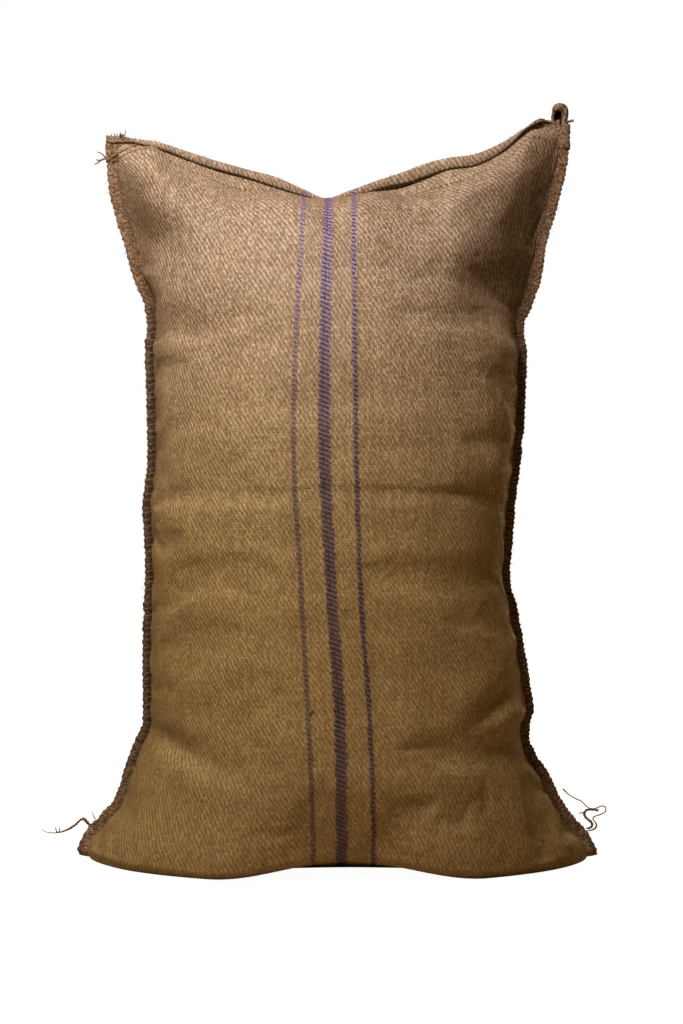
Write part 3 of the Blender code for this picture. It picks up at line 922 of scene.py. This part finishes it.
class Term:
    """A value in a material, which adds and multiplies as numbers do."""

    def __init__(self, graph, socket):
        self.graph, self.socket = graph, socket

    __add__ = __radd__ = operation("ADD")
    __sub__ = operation("SUBTRACT")
    __rsub__ = operation("SUBTRACT", turned=True)
    __mul__ = __rmul__ = operation("MULTIPLY")
    __truediv__ = operation("DIVIDE")
    floor = operation("FLOOR")
    part = operation("FRACT")
    size = operation("ABSOLUTE")
    sine = operation("SINE")
    cosine = operation("COSINE")
    power = operation("POWER")


def twill(g, u, v):
    """Two-up, one-down twill of doubled warp ends: its threads' places, which is on top, and its height."""
    wander = (g.noise(u * 30.0, v * 30.0, 3.0, 1.0) - 0.5) * 0.0016
    ends = (u + wander) / PAIR_PITCH
    picks = (v + (g.noise(u * 26.0, v * 40.0, 9.0, 1.0) - 0.5) * 0.0022) / PICK_PITCH
    pair, pick = ends.floor(), picks.floor()
    in_pair = ends.part()
    place = g.math("WRAP", picks + pair, 3.0, 0.0)
    warp_up = g.between(place, 0.86, 1.06) * (1.0 - g.between(place, 2.88, 3.0))
    float_arch = ((place - 0.9) * (math.pi / 2.1)).sine()
    float_arch = g.math("MAXIMUM", float_arch, 0.0).power(0.6)
    round_pair = (in_pair * math.pi).sine().power(0.7)
    two_ends = (in_pair * (2 * math.pi)).sine().size()
    warp_height = float_arch * round_pair * (0.72 + 0.28 * two_ends)
    weft_height = (picks.part() * math.pi).sine().power(0.7) * (0.45 + 0.2 * (in_pair * math.pi).sine())
    height = g.math("MAXIMUM", warp_height * warp_up, weft_height * (1.0 - warp_up))
    rib = 0.5 + 0.5 * ((picks + ends - 2.0) * (2 * math.pi / 3)).cosine()
    knot = g.chance_of_cell(pair, pick) - 0.5
    height = 0.55 * height + 0.30 * rib + 0.22 * knot + 0.05
    return picks, pair, pick, warp_up, knot, height


def jute_colour(g, u, v, pair, pick, warp_up, knot):
    """Uneven tan yarns with redder runs, painted paler towards the top as light from above, and how much of
    that painted light each place has.
    """
    warp_tone = g.noise(pair * 1.37, v * 60.0, 0.5, 3.0, 0.6) * 0.88 + g.chance(pair) * 0.12
    weft_tone = g.noise(u * 60.0, pick * 1.61, 7.5, 3.0, 0.6) * 0.88 + g.chance(pick + 71.0) * 0.12
    tone = warp_tone * warp_up + (weft_tone - 0.10) * (1.0 - warp_up) + 0.30 * knot
    # Painted light: paler and pinker towards the top, where the light from above falls and shines on the
    # cloth
    painted_top_light = g.between(v, 0.30, 0.88)
    dull = g.mix(painted_top_light, (0.335, 0.192, 0.064), (0.305, 0.182, 0.104))
    bright = g.mix(painted_top_light, (0.590, 0.375, 0.132), (0.650, 0.445, 0.300))
    pale = g.mix(g.between(tone, 0.18, 0.82), dull, bright)
    redder = g.between(g.noise(u * 60.0, v * 34.0, 2.0, 3.0, 0.6), 0.53, 0.72)
    red_run = g.between(g.noise(u * 6.0, pick * 0.9, 4.0, 2.0), 0.52, 0.75)
    return g.mix(0.55 * redder + 0.25 * red_run, pale, (0.350, 0.170, 0.075)), painted_top_light


def purple_stripes(g, u, v, picks, pair, pick, painted_top_light):
    """The three stripes: how strongly each place is dyed, its dashes, and its purple."""
    dye = 0.0 * u
    ragged = g.chance_of_cell(pick, 3.0 + (u / STRIPE_SPACING).floor()) * 0.0022 - 0.0011
    for middle, width, strength in (
        (-STRIPE_SPACING, NARROW_STRIPE, 0.80),
        (0.0, WIDE_STRIPE, 1.0),
        (STRIPE_SPACING, NARROW_STRIPE, 1.0),
    ):
        off = (u + ragged - middle).size()
        dye = dye + strength * (1.0 - g.between(off, width / 2 - 0.0012, width / 2 + 0.0012))
    dash = 0.5 + 0.5 * ((0.56 * picks + 0.14 * pair) * (2 * math.pi)).cosine()
    mottled = g.between(g.noise(u * 240.0, v * 420.0, 6.0, 1.0), 0.38, 0.62)
    dash_tone = 0.42 * dash + 0.30 * mottled + 0.28 * g.chance(pair + 13.0)
    # The stripes are painted paler towards the top too, as light from above
    stripe_top_light = painted_top_light * painted_top_light
    deep = g.mix(stripe_top_light, (0.022, 0.010, 0.026), (0.050, 0.020, 0.092))
    lilac = g.mix(stripe_top_light, (0.180, 0.102, 0.108), (0.470, 0.295, 0.465))
    return dye, dash, g.mix(g.between(dash_tone, 0.24, 0.84), deep, lilac)


def hessian_material():
    """Striped jute twill, with slubs and dark specks; painted light makes it paler towards the top, and
    painted shade darkens the weave's hollows and the places of the shade map.
    """
    g = Graph("hessian twill", 0.58)
    u, v = g.map_of("weave")
    shade, _ = g.map_of("shade")
    picks, pair, pick, warp_up, knot, height = twill(g, u, v)
    cloth, painted_top_light = jute_colour(g, u, v, pair, pick, warp_up, knot)
    dye, dash, purple = purple_stripes(g, u, v, picks, pair, pick, painted_top_light)
    thin = 0.70 + 0.36 * g.noise(u * 60.0, v * 18.0, 6.0, 2.0)
    cloth = g.mix(dye * thin, cloth, purple)
    height = height + dye * (0.35 * dash + 0.25 - height) * 0.7
    # Painted shade in the hollows of the weave, deeper towards the top
    relief = 0.31 + 0.19 * painted_top_light
    hollow = 1.0 - relief + relief * g.between(height, 0.15, 0.80)
    cloth = g.shaded(cloth, hollow)
    # Random patches of tone, and painted light that brightens the top
    patch = 0.80 + 0.20 * g.noise(u * 7.0, v * 7.0, 1.0, 3.0, 0.55) + 0.14 * painted_top_light
    cloth = g.shaded(cloth, patch)
    fleck = g.noise(u * 210.0, v * 300.0, 8.0, 1.0)
    rare = g.noise(u * 33.0, v * 33.0, 5.0, 2.0)
    speck = g.between(fleck, 0.67, 0.73) * g.between(rare, 0.49, 0.60)
    cloth = g.mix(0.75 * speck, cloth, (0.035, 0.020, 0.010))
    # Painted shade from the shade map, dark and warm, with less specular there: in the mouth's slit, on the
    # narrow sides inside the seams, in both ears, beside the left seam and towards the bottom right; the same
    # map carries the cloth's own dark marks
    cloth = g.mix(shade, cloth, SHADE_AND_MARK_DARK)
    cloth = g.mix(shade, cloth, SHADE_AND_MARK_TINT, "MULTIPLY")
    lint = g.noise(u * 420.0, v * 420.0, 2.0, 2.0, 0.7)
    g.join(g.shader.inputs["Specular IOR Level"], 0.26 * (1.0 - shade))
    return g.finish(cloth, height + 0.18 * lint, 0.0008)


def twine_material():
    """Reddish brown jute twine, two yarns twisted, a little hairy."""
    g = Graph("jute twine", 0.88)
    around, length = g.map_of("weave")
    twist = ((around * 2.0 + length / 0.0042) * math.pi).sine().size()
    tone = g.noise(around * 3.0, length * 160.0, 1.0, 3.0, 0.7)
    colour = g.mix(g.between(tone, 0.3, 0.7), (0.180, 0.085, 0.040), (0.430, 0.255, 0.130))
    # Painted shade in the grooves between the twisted yarns
    hollow = 0.45 + 0.55 * g.between(twist, 0.0, 0.7)
    colour = g.shaded(colour, hollow)
    return g.finish(colour, twist + 0.3 * tone, 0.0005, sheen=0.3)


def binding_material():
    """The turned-in edges of the cloth: tight twill, speckled red where the sewing pulls it, darker along the
    middle of the seams' height, with painted shade in the rib hollows and from the shade map.
    """
    g = Graph("bound edge", 0.8)
    u, v = g.map_of("weave")
    ribs = 0.5 + 0.5 * ((u / 0.0026 + v / 0.0034) * (2 * math.pi)).cosine()
    tone = g.noise(u * 130.0, v * 130.0, 1.0, 3.0, 0.65)
    colour = g.mix(g.between(tone, 0.28, 0.72), (0.235, 0.125, 0.062), (0.545, 0.350, 0.200))
    red = g.between(g.noise(u * 330.0, v * 280.0, 4.0, 2.0, 0.6), 0.47, 0.57)
    colour = g.mix(0.85 * red, colour, (0.135, 0.046, 0.020))
    # Darker along the middle of the seams' height
    darker_mid_height = 0.48 + 0.52 * g.between((v - 0.42).size(), 0.20, 0.42)
    colour = g.shaded(colour, darker_mid_height)
    # Painted shade in the hollows of the ribs, with uneven tone
    hollow = 0.5 + 0.5 * g.between(0.6 * ribs + 0.6 * tone, 0.25, 0.75)
    colour = g.shaded(colour, hollow)
    # Painted shade from the shade map: on the left binding's inner half, in the hem tip's hollow and in the
    # left corner's crease
    shade, _ = g.map_of("shade")
    colour = g.mix(shade, colour, SHADE_AND_MARK_DARK)
    return g.finish(colour, 0.7 * ribs + 0.6 * tone, 0.0009, sheen=0.1)


def frames_along(points):
    """Two directions at right angles to a line of points, which turn as little as they can."""
    ahead = unit(np.gradient(points, axis=0))
    sides = [unit(np.cross(ahead[0], (0.31, 0.87, 0.39)))]
    for direction in ahead[1:]:
        sides.append(unit(sides[-1] - direction * (sides[-1] @ direction)))
    sides = np.array(sides)
    return sides, np.cross(ahead, sides)


def add_tube(surface, points, radius, sides=6):
    """Add a round tube along points, with its ends drawn to a blunt point."""
    points = np.asarray(points, float)
    radius = np.broadcast_to(radius, len(points)).astype(float)
    first, second = frames_along(points)
    turn = np.linspace(0, 2 * math.pi, sides + 1)
    ring = first[:, None] * np.cos(turn)[:, None] + second[:, None] * np.sin(turn)[:, None]
    places = points[:, None] + ring * radius[:, None, None]
    weave = joined(turn / (2 * math.pi), lengths_of(points)[:, None])
    surface.grid(shut(places, points), doubled(weave))


def line_of(points, spacing):
    """Places along a smooth line through these points."""
    points = np.array(points, float)
    count = max(4, round(lengths_of(points)[-1] / spacing))
    return joined(*along(points, np.linspace(0, 1, count + 1)))


def shade_and_marks(front):
    """How much painted shade the front has at each place, beside the left seam, in both ears and towards the
    bottom right, and its own dark marks.
    """
    x, z = front[..., 0], front[..., 2]
    from_left = (1 + np.linspace(-1, 1, front.shape[1])) * HALF_WIDTH
    # Painted shade beside the left seam and in the left ear's hollow
    left_seam = 0.55 * np.exp(-((from_left / 0.024) ** 2)) * smooth_step((z - 0.69) / 0.03)
    left_ear = 0.20 * np.exp(-(((x + 0.242) / 0.020) ** 2) - ((z - 0.80) / 0.055) ** 2)
    # Painted shade in the right ear's hollow, darkest next to the seam
    rise = z - 0.745
    above = rise > 0
    into = x - 0.150 - np.where(above, 0.55, -1.22) * rise
    right_ear = (0.38 + 0.22 * smooth_step(into / 0.080)) * smooth_step(into / np.where(above, 0.045, 0.008))
    right_ear *= smooth_step((0.94 - z) / 0.05) * (z > 0.60)
    # Painted shade towards the bottom right, where the light falls off
    bottom_right = 0.22 * smooth_step((x - 0.10) / 0.14) * smooth_step((0.19 - z) / 0.10)
    # The cloth's own dark marks
    marks = np.zeros_like(x)
    for mark_x, mark_z, strength in DARK_MARKS:
        off = (x - mark_x) ** 2 + (z - mark_z) ** 2
        marks[np.unravel_index(off.argmin(), off.shape)] = strength
    return np.max([left_seam, left_ear, right_ear, bottom_right, marks], axis=0)


def add_mouth(surface, lip, hem, lip_weave):
    """Add the mouth: over the front's lip, down into the narrow slit behind it, and up to the back's hem."""
    share = np.abs(np.linspace(-1, 1, COLUMNS + 1))
    depth = SLIT_END_DEPTH + (SLIT_DEPTH - SLIT_END_DEPTH) * (1 - share**6)
    closing = 1 - smooth_step((share - 0.96) / 0.04)
    width = column_of(CREST, 2, lip[:, 0]) * closing + 0.0004
    shade_up = 1.5 * column_of(CREST, 3, lip[:, 0])
    near = lip[:, 1] + LIP_THICKNESS * (0.3 + 0.7 * closing)
    far = np.minimum(near + width, hem[:, 1] - 0.0022)
    bottom_z = lip[:, 2] - depth * closing - 0.001
    lip_y, lip_z, hem_y, hem_z = lip[:, 1], lip[:, 2], hem[:, 1], hem[:, 2]
    # Steps round the mouth: y, height and how much shade is painted there; the slit's walls are painted dark
    # for the shade inside it
    rounded = (
        (lip_y, lip_z, 0.0),
        (lip_y + 0.0006, lip_z + 0.0007, 0.0),
        (near - 0.0008, lip_z + 0.0008, 0.15),
        (near, lip_z - 0.0006, 0.8),
        (near, lip_z - 0.004, 1.0),
        (near, bottom_z, 1.0),
        (far, bottom_z, 1.0),
        (far, lip_z - 0.002, 1.0),
        (far, lip_z + 0.5 * shade_up, 0.97),
        (far, lip_z + shade_up, 0.9),
        (far - 0.0004, lip_z + shade_up + 0.0016, 0.25),
        (far - 0.0004, hem_z - 0.0020, 0.0),
        (far + 0.0006, hem_z + 0.0002, 0.0),
        (far * 0.5 + hem_y * 0.5, hem_z + 0.0010, 0.0),
    )
    slit = np.array([joined(lip[:, 0], y, z) for y, z, _ in rounded] + [hem])
    shades = np.array([shade for _, _, shade in rounded] + [0.0])[:, None]
    weave = joined(lip_weave[:, 0], lip_weave[:, 1] + walked(slit))
    surface.grid(slit, weave, shades * (0.2 + 0.8 * closing))


def make_cloth(finish):
    """The filled cloth, from the floor up both panels to the mouth."""
    across, up = np.meshgrid(np.linspace(-1, 1, COLUMNS + 1), np.linspace(0, 1, ROWS + 1))
    front = roll_back(panel(True, across, up))
    back = panel(False, across, up)
    front_moves, back_moves = settled(front, back)
    front = front + front_moves * filled(front)
    back = back + back_moves * filled(back)
    front = puckered(front, True, 1)
    back = puckered(back, False, 4)
    for places in (front, back):
        places[..., 2] = np.maximum(places[..., 2], 0.0)
    front_weave, back_weave = weave_of(front, True), weave_of(back, False)
    surface = Surface()
    surface.grid(front, front_weave, shade_and_marks(front))
    surface.grid(back, back_weave, flip=True)

    shares = np.linspace(0, 1, BASE_ROWS + 1)[:, None, None]
    bottom = front[0] + (back[0] - front[0]) * shares
    bottom[1:-1, :, 2] = floor_height(bottom[1:-1, :, 0], bottom[1:-1, :, 1])
    bottom_weave = front_weave[0] + np.array([0.0, -0.36]) * shares
    surface.grid(bottom, bottom_weave, flip=True)
    # The narrow sides where the panels meet inside the seams, painted with shade
    for column, flip in ((0, True), (-1, False)):
        side = np.stack([front[:, column], back[:, column]], axis=1)
        weave = np.stack([front_weave[:, column], front_weave[:, column] + (0.01, 0)], axis=1)
        surface.grid(side, weave, 0.6, flip=flip)

    add_mouth(surface, front[-1], back[-1], front_weave[-1])
    cloth = surface.finished("sack_cloth", finish)
    placed(cloth, "hessian", "sack_body")
    return front, back


def seam_line(side, count):
    """Places up the root of a side's binding, which way is outward there, and the distance walked."""
    shares = np.linspace(0, 1, count + 1)
    line = panel(True, np.full_like(shares, side), shares)
    line[:, 1] += EDGE_THICKNESS / 2
    outward_x, outward_z = rim_line(side, shares)[1]
    return line, joined(outward_x, 0.0, outward_z), lengths_of(line)


def make_seam(side, name, binding_finish, twine_finish):
    """A side edge: the gathered, turned-in cloth, and the twine that is overcast round it."""
    line, outward, length = seam_line(side, SEAM_ROWS)
    thickness = np.array([0.0, 1.0, 0.0])
    pitch, slant = STITCH_PITCH[side], SLANT[side]
    uneven = ripples(length, 0 * length, 0.006, 0.035, 31 + side)
    width = BINDING_WIDTH - 0.0006 + 0.0006 * uneven
    rim_half = BINDING_THICKNESS * (0.36 if side < 0 else 0.30) + 0.0003 * uneven
    turn = np.linspace(-math.pi / 2, math.pi / 2, 21)
    reach = np.abs(np.cos(turn)) ** 0.6
    across = np.sign(np.sin(turn)) * np.abs(np.sin(turn)) ** 0.6
    climb, rim = length[:, None], rim_half[:, None]
    half = rim + (EDGE_THICKNESS / 2 - rim) * (1 - reach) ** 1.5
    lumps = np.cos(2 * math.pi * (climb / pitch - slant * reach))
    half = half + 0.0005 * lumps * reach * (0.6 + 0.4 * uneven[:, None])
    half *= 0.35 + 0.65 * smooth_step(climb / 0.015)
    foot = (1 - smooth_step(climb / 0.035)) * (1 - reach) ** 0.7 * (across < 0)
    half = half + 0.014 * foot
    scallop = 0.0005 * np.cos(2 * math.pi * (length / pitch - slant))
    out = ROOT_DEPTH + reach * (width + scallop - ROOT_DEPTH)[:, None]
    places = line[:, None] + outward[:, None] * out[..., None] + thickness * (across * half)[..., None]
    places[..., 2] = np.maximum(places[..., 2], 0.0005)
    steps = np.hypot(np.diff(reach) * BINDING_WIDTH, np.diff(across) * 0.004)
    around = np.concatenate([[0.0], np.cumsum(steps)])
    weave = doubled(joined(around, climb))
    # Painted shade on the inner half of the left binding, where it meets the cloth under the belly, between
    # these heights
    inner = smooth_step((0.75 - reach) / 0.25) * (across < 0)
    pressed = smooth_step((line[:, 2] - 0.10) / 0.06) * smooth_step((0.715 - line[:, 2]) / 0.03)
    shade = inner * (pressed * (0.62 if side < 0 else 0.0))[:, None]
    surface = Surface()
    surface.grid(shut(places, line + outward * 0.006), weave, doubled(shade), flip=side > 0)
    placed(surface.finished(name + "_edge", binding_finish), "twine", name)

    def on_edge(at, share, face, lift):
        """Places on the edge's front (-1) or back (1) face, at a share of its width out from the cloth."""
        wide = np.interp(at, length, width)
        thin = np.interp(at, length, rim_half) * np.sqrt(np.clip(1 - np.abs(share) ** 3, 0.0, 1.0))
        thin = thin + (EDGE_THICKNESS / 2 - thin) * np.clip(1 - share, 0.0, 1.0) ** 3 + lift
        path = read_line(at, length, line) + read_line(at, length, outward) * (wide * share)[:, None]
        path += thickness * (face * thin)[:, None]
        path[:, 2] = np.maximum(path[:, 2], 0.0012)
        return path

    surface = Surface()
    chance = np.random.default_rng(7 + side)
    step = np.linspace(0, 1, 9)
    for number in range(int((length[-1] - 0.016) / pitch)):
        at = 0.008 + (number + chance.normal(0, 0.10)) * pitch
        for face in (-1, 1):
            lean = pitch * (slant + chance.normal(0, 0.12))
            share = 0.06 + 0.95 * np.sin(step * math.pi / 2)
            thick = chance.uniform(0.00055, 0.00085) * (1 + 0.2 * np.sin(step * 9 + number))
            run = at + face * -0.5 * lean * (1 - share)
            add_tube(surface, on_edge(run, share, face, 0.0001), thick)
        if number % 2 == 0 or side < 0:
            run = at + pitch * np.linspace(0.1, 0.75, 5)
            inner = np.full(5, chance.uniform(-0.02, 0.10))
            rise = 0.0004 * np.sin(np.linspace(0, math.pi, 5)) - 0.0002
            add_tube(surface, on_edge(run, inner, -1, rise), 0.0007)
    placed(surface.finished(name + "_stitches", twine_finish), "twine")


def make_hem_stitches(front, back, finish):
    """The row of stitches that holds each panel's hem."""
    surface = Surface()
    for places, is_front, wanted in ((front, True, HEM), (back, False, HEM + 0.004)):
        from_lip = from_mouth(places)
        both = np.concatenate([places, outward_of(places, is_front)], axis=-1)[::-1]
        found = [
            [np.interp(wanted, distance, value) for value in column.T]
            for distance, column in zip(from_lip[::-1].T, both.transpose(1, 0, 2))
        ]
        line, out = np.split(np.array(found), 2, axis=1)
        length = lengths_of(line)
        for number in range(int(length[-1] / HEM_STITCH_PITCH)):
            at = 0.003 + number * HEM_STITCH_PITCH + np.linspace(0, HEM_STITCH_LENGTH, 6)
            lift = 0.0008 * np.sin(np.linspace(0, math.pi, 6)) - 0.0002
            path = read_line(at, length, line) + lift[:, None] * read_line(at, length, out)
            add_tube(surface, path, 0.0006, sides=5)
    placed(surface.finished("hem_stitches", finish), "twine")


def make_loose_end(name, points, diameter, fullness, finish):
    """A loose end of twine: two yarns twisted round each other along its route."""
    route = line_of(points, diameter * 0.35)
    first, second = frames_along(route)
    length = lengths_of(route)
    surface = Surface()
    for start in (0.0, math.pi):
        turn = start + 2 * math.pi * length / (diameter * 3.2)
        offset = first * np.cos(turn)[:, None] + second * np.sin(turn)[:, None]
        full = np.interp(length / length[-1], *fullness)
        path = route + offset * (diameter * 0.30 * full)[:, None]
        add_tube(surface, path, diameter * 0.36 * full)
    cord = placed(surface.finished(name + "_cord", finish), "twine", name)


def make_hem_tip(finish, twine_finish):
    """The rolled corner of the hem: a curl of cloth round a hollow that is a disc painted with shade, with a
    thin lip and a cut yarn.
    """
    surface = Surface()
    curl = np.array(TIP_CURL)
    count = 60
    shares = np.linspace(0, 1, count)
    path = joined(*along(curl[:, :3], shares))
    radius = np.interp(shares, np.linspace(0, 1, len(curl)), curl[:, 3])
    depth = np.array([0.0, 1.0, 0.0])
    aside = np.cross(unit(np.gradient(path, axis=0)), depth)
    turn = np.linspace(0, 2 * math.pi, 21)
    rumple = 1 + 0.10 * np.sin(3 * turn + np.linspace(0, 9, count)[:, None])
    across = np.cos(turn) * rumple * radius[:, None]
    deep = np.sin(turn) * rumple * (radius * 0.7 + 0.0022)[:, None]
    places = path[:, None] + aside[:, None] * across[..., None] + depth * deep[..., None]
    weave = joined(turn * 0.004, np.linspace(0, 0.06, count + 2)[:, None])
    surface.grid(shut(places, path), weave)
    # The hollow inside the curl: a disc painted fully with shade
    hollow_x, hollow_z, half_width, half_height = TIP_HOLLOW
    ring = np.linspace(0, 2 * math.pi, 25)
    rings = []
    for size, y in ((0.0, 0.0045), (0.6, 0.0040), (1.0, 0.0020)):
        x = hollow_x + size * half_width * np.sin(ring)
        z = hollow_z + size * half_height * np.cos(ring)
        rings.append(joined(x, y, z))
    surface.grid(np.array(rings), np.zeros(2), 1.0)
    placed(surface.finished("hem_tip_curl", finish), "hessian", "hem_tip")
    surface = Surface()
    add_tube(surface, line_of(TIP_YARN, 0.0012), 0.0017)
    placed(surface.finished("hem_tip_yarn", twine_finish), "twine")


def make_corners(finish):
    """The doubled ends of the hem, folded over the top of each seam and stitched down."""
    surface = Surface()
    for side, top, crease in ((-1, LEFT_CORNER, 0.0095), (1, RIGHT_CORNER, 0.0)):
        inner_x, inner_low, inner_high, outer_x, outer_low, outer_high = top
        turn = np.linspace(-math.pi / 2, math.pi / 2, 27)
        reach = np.abs(np.cos(turn)) ** 0.45
        across = np.sign(np.sin(turn)) * np.abs(np.sin(turn)) ** 0.5
        up = np.linspace(0, 1, 31)[:, None]
        x = inner_x + (outer_x - inner_x) * reach + 0.0006 * np.sin(9 * up)
        low = inner_low + (outer_low - inner_low) * reach
        high = inner_high + (outer_high - inner_high) * reach
        z = low + (high - low) * up
        thick = 0.0068 - 0.0016 * (1 - reach) * (across < 0) + 0.0005 * np.sin(7 * up + 5 * reach)
        # The left corner's crease is drawn in and painted with shade
        line = np.exp(-(((z - high + crease) / 0.0011) ** 2)) if crease else 0 * z
        thick = (thick - 0.0016 * line) * smooth_step(up / 0.10 + 0.55) * smooth_step((1 - up) / 0.05 + 0.35)
        y = across * thick
        places = doubled(joined(x, y, z))
        places[[0, -1], :, 1] *= 0.2
        surface.grid(places, doubled(joined(x * side, z)), 0.7 * doubled(line), flip=side > 0)
    placed(surface.finished("hem_corners", finish), "hessian")


def make_corner_sewing(front, finish):
    """The dark stitches that hold down the left end of the hem: a row along it and a row aslant below."""
    surface = Surface()
    for from_x, from_z, to_x, to_z, count in CORNER_ROWS:
        share = np.linspace(0, 1, count + 1)
        x = from_x + (to_x - from_x) * share
        z = from_z + (to_z - from_z) * share + 0.0004 * np.sin(5 * np.arange(count + 1))
        off = (front[..., 0] - x[:, None, None]) ** 2 + (front[..., 2] - z[:, None, None]) ** 2
        nearest = off.reshape(count + 1, -1).argmin(axis=1)
        row = joined(x, np.minimum(front[..., 1].ravel()[nearest], -0.0066) - 0.0002, z)
        step = np.array([0.05, 0.3, 0.6, 0.85])[:, None]
        for number in range(count):
            path = row[number] + (row[number + 1] - row[number]) * step
            path[:, 1] -= 0.0005 * np.sin(math.pi * step[:, 0])
            path[:, 2] += 0.0010 * (step[:, 0] - 0.5)
            add_tube(surface, path, 0.00115)
    placed(surface.finished("corner_sewing", finish), "twine")


def hair(surface, start, way, chance):
    """One fine curved fibre that stands off an edge."""
    step = np.linspace(0, 1, 5)[:, None]
    path = start + unit(way) * step * chance.uniform(0.0015, 0.0050) + chance.normal(0, 0.0012, 3) * step**2
    path[:, 2] = np.maximum(path[:, 2], 0.0006)
    add_tube(surface, path, np.linspace(0.00022, 0.00010, 5), sides=3)


def make_frays(front, back, finish):
    """Frayed yarns at the corners and on the loose ends, and the fine hair of the edges."""
    surface = Surface()
    for thick, *points in FRAYS:
        route = line_of(points, 0.0011)
        add_tube(surface, route, thick * np.linspace(1.0, 0.45, len(route)), sides=5)
    chance = np.random.default_rng(23)
    for _ in range(TIP_YARNS):
        start = chance.uniform((-0.290, -0.006, 0.909), (-0.268, 0.004, 0.917))
        rise = np.array([chance.normal(0, 0.35), chance.normal(-0.2, 0.5), chance.uniform(0.6, 1.0)])
        bend = chance.normal(0, 0.0016, 3)
        step = np.linspace(0, 1, 6)[:, None]
        path = start + rise * step * chance.uniform(0.004, 0.008) + bend * step**2
        add_tube(surface, path, np.linspace(0.0009, 0.0004, 6), sides=5)
    placed(surface.finished("frayed_yarns", finish), "twine")

    surface = Surface()
    for side in (-1, 1):
        line, outward, _ = seam_line(side, HAIR_ROWS)
        for _ in range(SEAM_HAIRS):
            at = int(chance.integers(6, HAIR_ROWS))
            start = line[at] + outward[at] * chance.uniform(0.011, 0.0142)
            start[1] += chance.uniform(-0.003, 0.003)
            way = outward[at] * chance.uniform(0.3, 1.0) + chance.normal(0, 0.6, 3)
            hair(surface, start, way, chance)
    for places in (front, back):
        for _ in range(HEM_HAIRS):
            at = int(chance.integers(4, places.shape[1] - 4))
            way = np.array([chance.normal(0, 0.7), chance.normal(0, 0.5), chance.uniform(0.3, 1.0)])
            hair(surface, places[-1, at] + (0, 0, 0.0004), way, chance)
    placed(surface.finished("edge_hair", finish), "twine")


def studio():
    """A pale floor, soft light from the upper left and from behind, and the camera."""
    bpy.ops.mesh.primitive_plane_add(size=8, location=(0, 1, 0))
    floor = bpy.context.object
    floor.name = "floor"
    g = Graph("pale floor", 0.8)
    u, v = g.map_of("UVMap")
    colour = g.mix(0.3 * g.noise(u * 900.0, v * 900.0), (0.52, 0.40, 0.27), (0.48, 0.37, 0.24))
    glow = g.node("ShaderNodeLightPath").outputs["Is Camera Ray"]
    g.shader.inputs["Emission Color"].default_value = (1, 1, 1, 1)
    g.join(g.shader.inputs["Emission Strength"], 0.97 * Term(g, glow))
    floor.data.materials.append(g.finish(colour, g.noise(u * 900.0, v * 900.0), 0.0002))

    world = bpy.data.worlds.new("studio")
    bpy.context.scene.world = world
    world.use_nodes = True
    tree = world.node_tree
    background = tree.nodes["Background"]
    background.inputs[0].default_value = (1.0, 0.68, 0.27, 1)
    background.inputs[1].default_value = 0.10
    shown = tree.nodes.new("ShaderNodeBackground")
    shown.inputs[0].default_value = (1, 1, 1, 1)
    shown.inputs[1].default_value = 1.0
    seen = tree.nodes.new("ShaderNodeLightPath")
    either = tree.nodes.new("ShaderNodeMixShader")
    tree.links.new(seen.outputs["Is Camera Ray"], either.inputs[0])
    tree.links.new(background.outputs[0], either.inputs[1])
    tree.links.new(shown.outputs[0], either.inputs[2])
    tree.links.new(either.outputs[0], tree.nodes["World Output"].inputs[0])

    for name, place, size, power, colour in (
        ("key", (-0.38, -0.81, 1.50), 0.6, 19.2, (1.0, 1.0, 1.0)),
        ("fill", (-1.30, -1.10, 0.15), 1.0, 2.4, (1.0, 1.0, 1.0)),
        ("back", (1.00, 2.30, 1.30), 1.6, 22.0, (1.0, 0.80, 0.50)),
    ):
        light = bpy.data.lights.new(name, "AREA")
        light.size = size
        light.energy = power
        light.color = colour
        lamp = bpy.data.objects.new(name, light)
        lamp.visible_camera = False
        lamp.location = place
        aim = np.array((0.0, 0.0, 0.5)) - np.array(place)
        lamp.rotation_euler = (
            math.atan2(math.hypot(aim[0], aim[1]), -aim[2]),
            0.0,
            math.atan2(-aim[0], aim[1]),
        )
        bpy.context.scene.collection.objects.link(lamp)

    camera = bpy.data.cameras.new("camera")
    camera.sensor_width = 36
    camera.lens = FOCAL_LENGTH / PICTURE_HEIGHT * 36
    eye = bpy.data.objects.new("camera", camera)
    eye.location = (0.0045, -EYE_DISTANCE, EYE_HEIGHT)
    eye.rotation_euler = (math.pi / 2 - math.atan(LOOKS_DOWN / FOCAL_LENGTH), 0, 0)
    bpy.context.scene.collection.objects.link(eye)
    bpy.context.scene.camera = eye
    bpy.context.scene.view_settings.view_transform = "Standard"


def main():
    hessian = hessian_material()
    twine = twine_material()
    bound = binding_material()
    front, back = make_cloth(hessian)
    for side, name in ((-1, "seam_left"), (1, "seam_right")):
        make_seam(side, name, bound, twine)
    make_hem_stitches(front, back, twine)
    for name, route, diameter, fullness in LOOSE_ENDS:
        make_loose_end(name, route, diameter, fullness, twine)
    make_hem_tip(bound, twine)
    make_corners(bound)
    make_corner_sewing(front, twine)
    make_frays(front, back, twine)
    studio()


main()
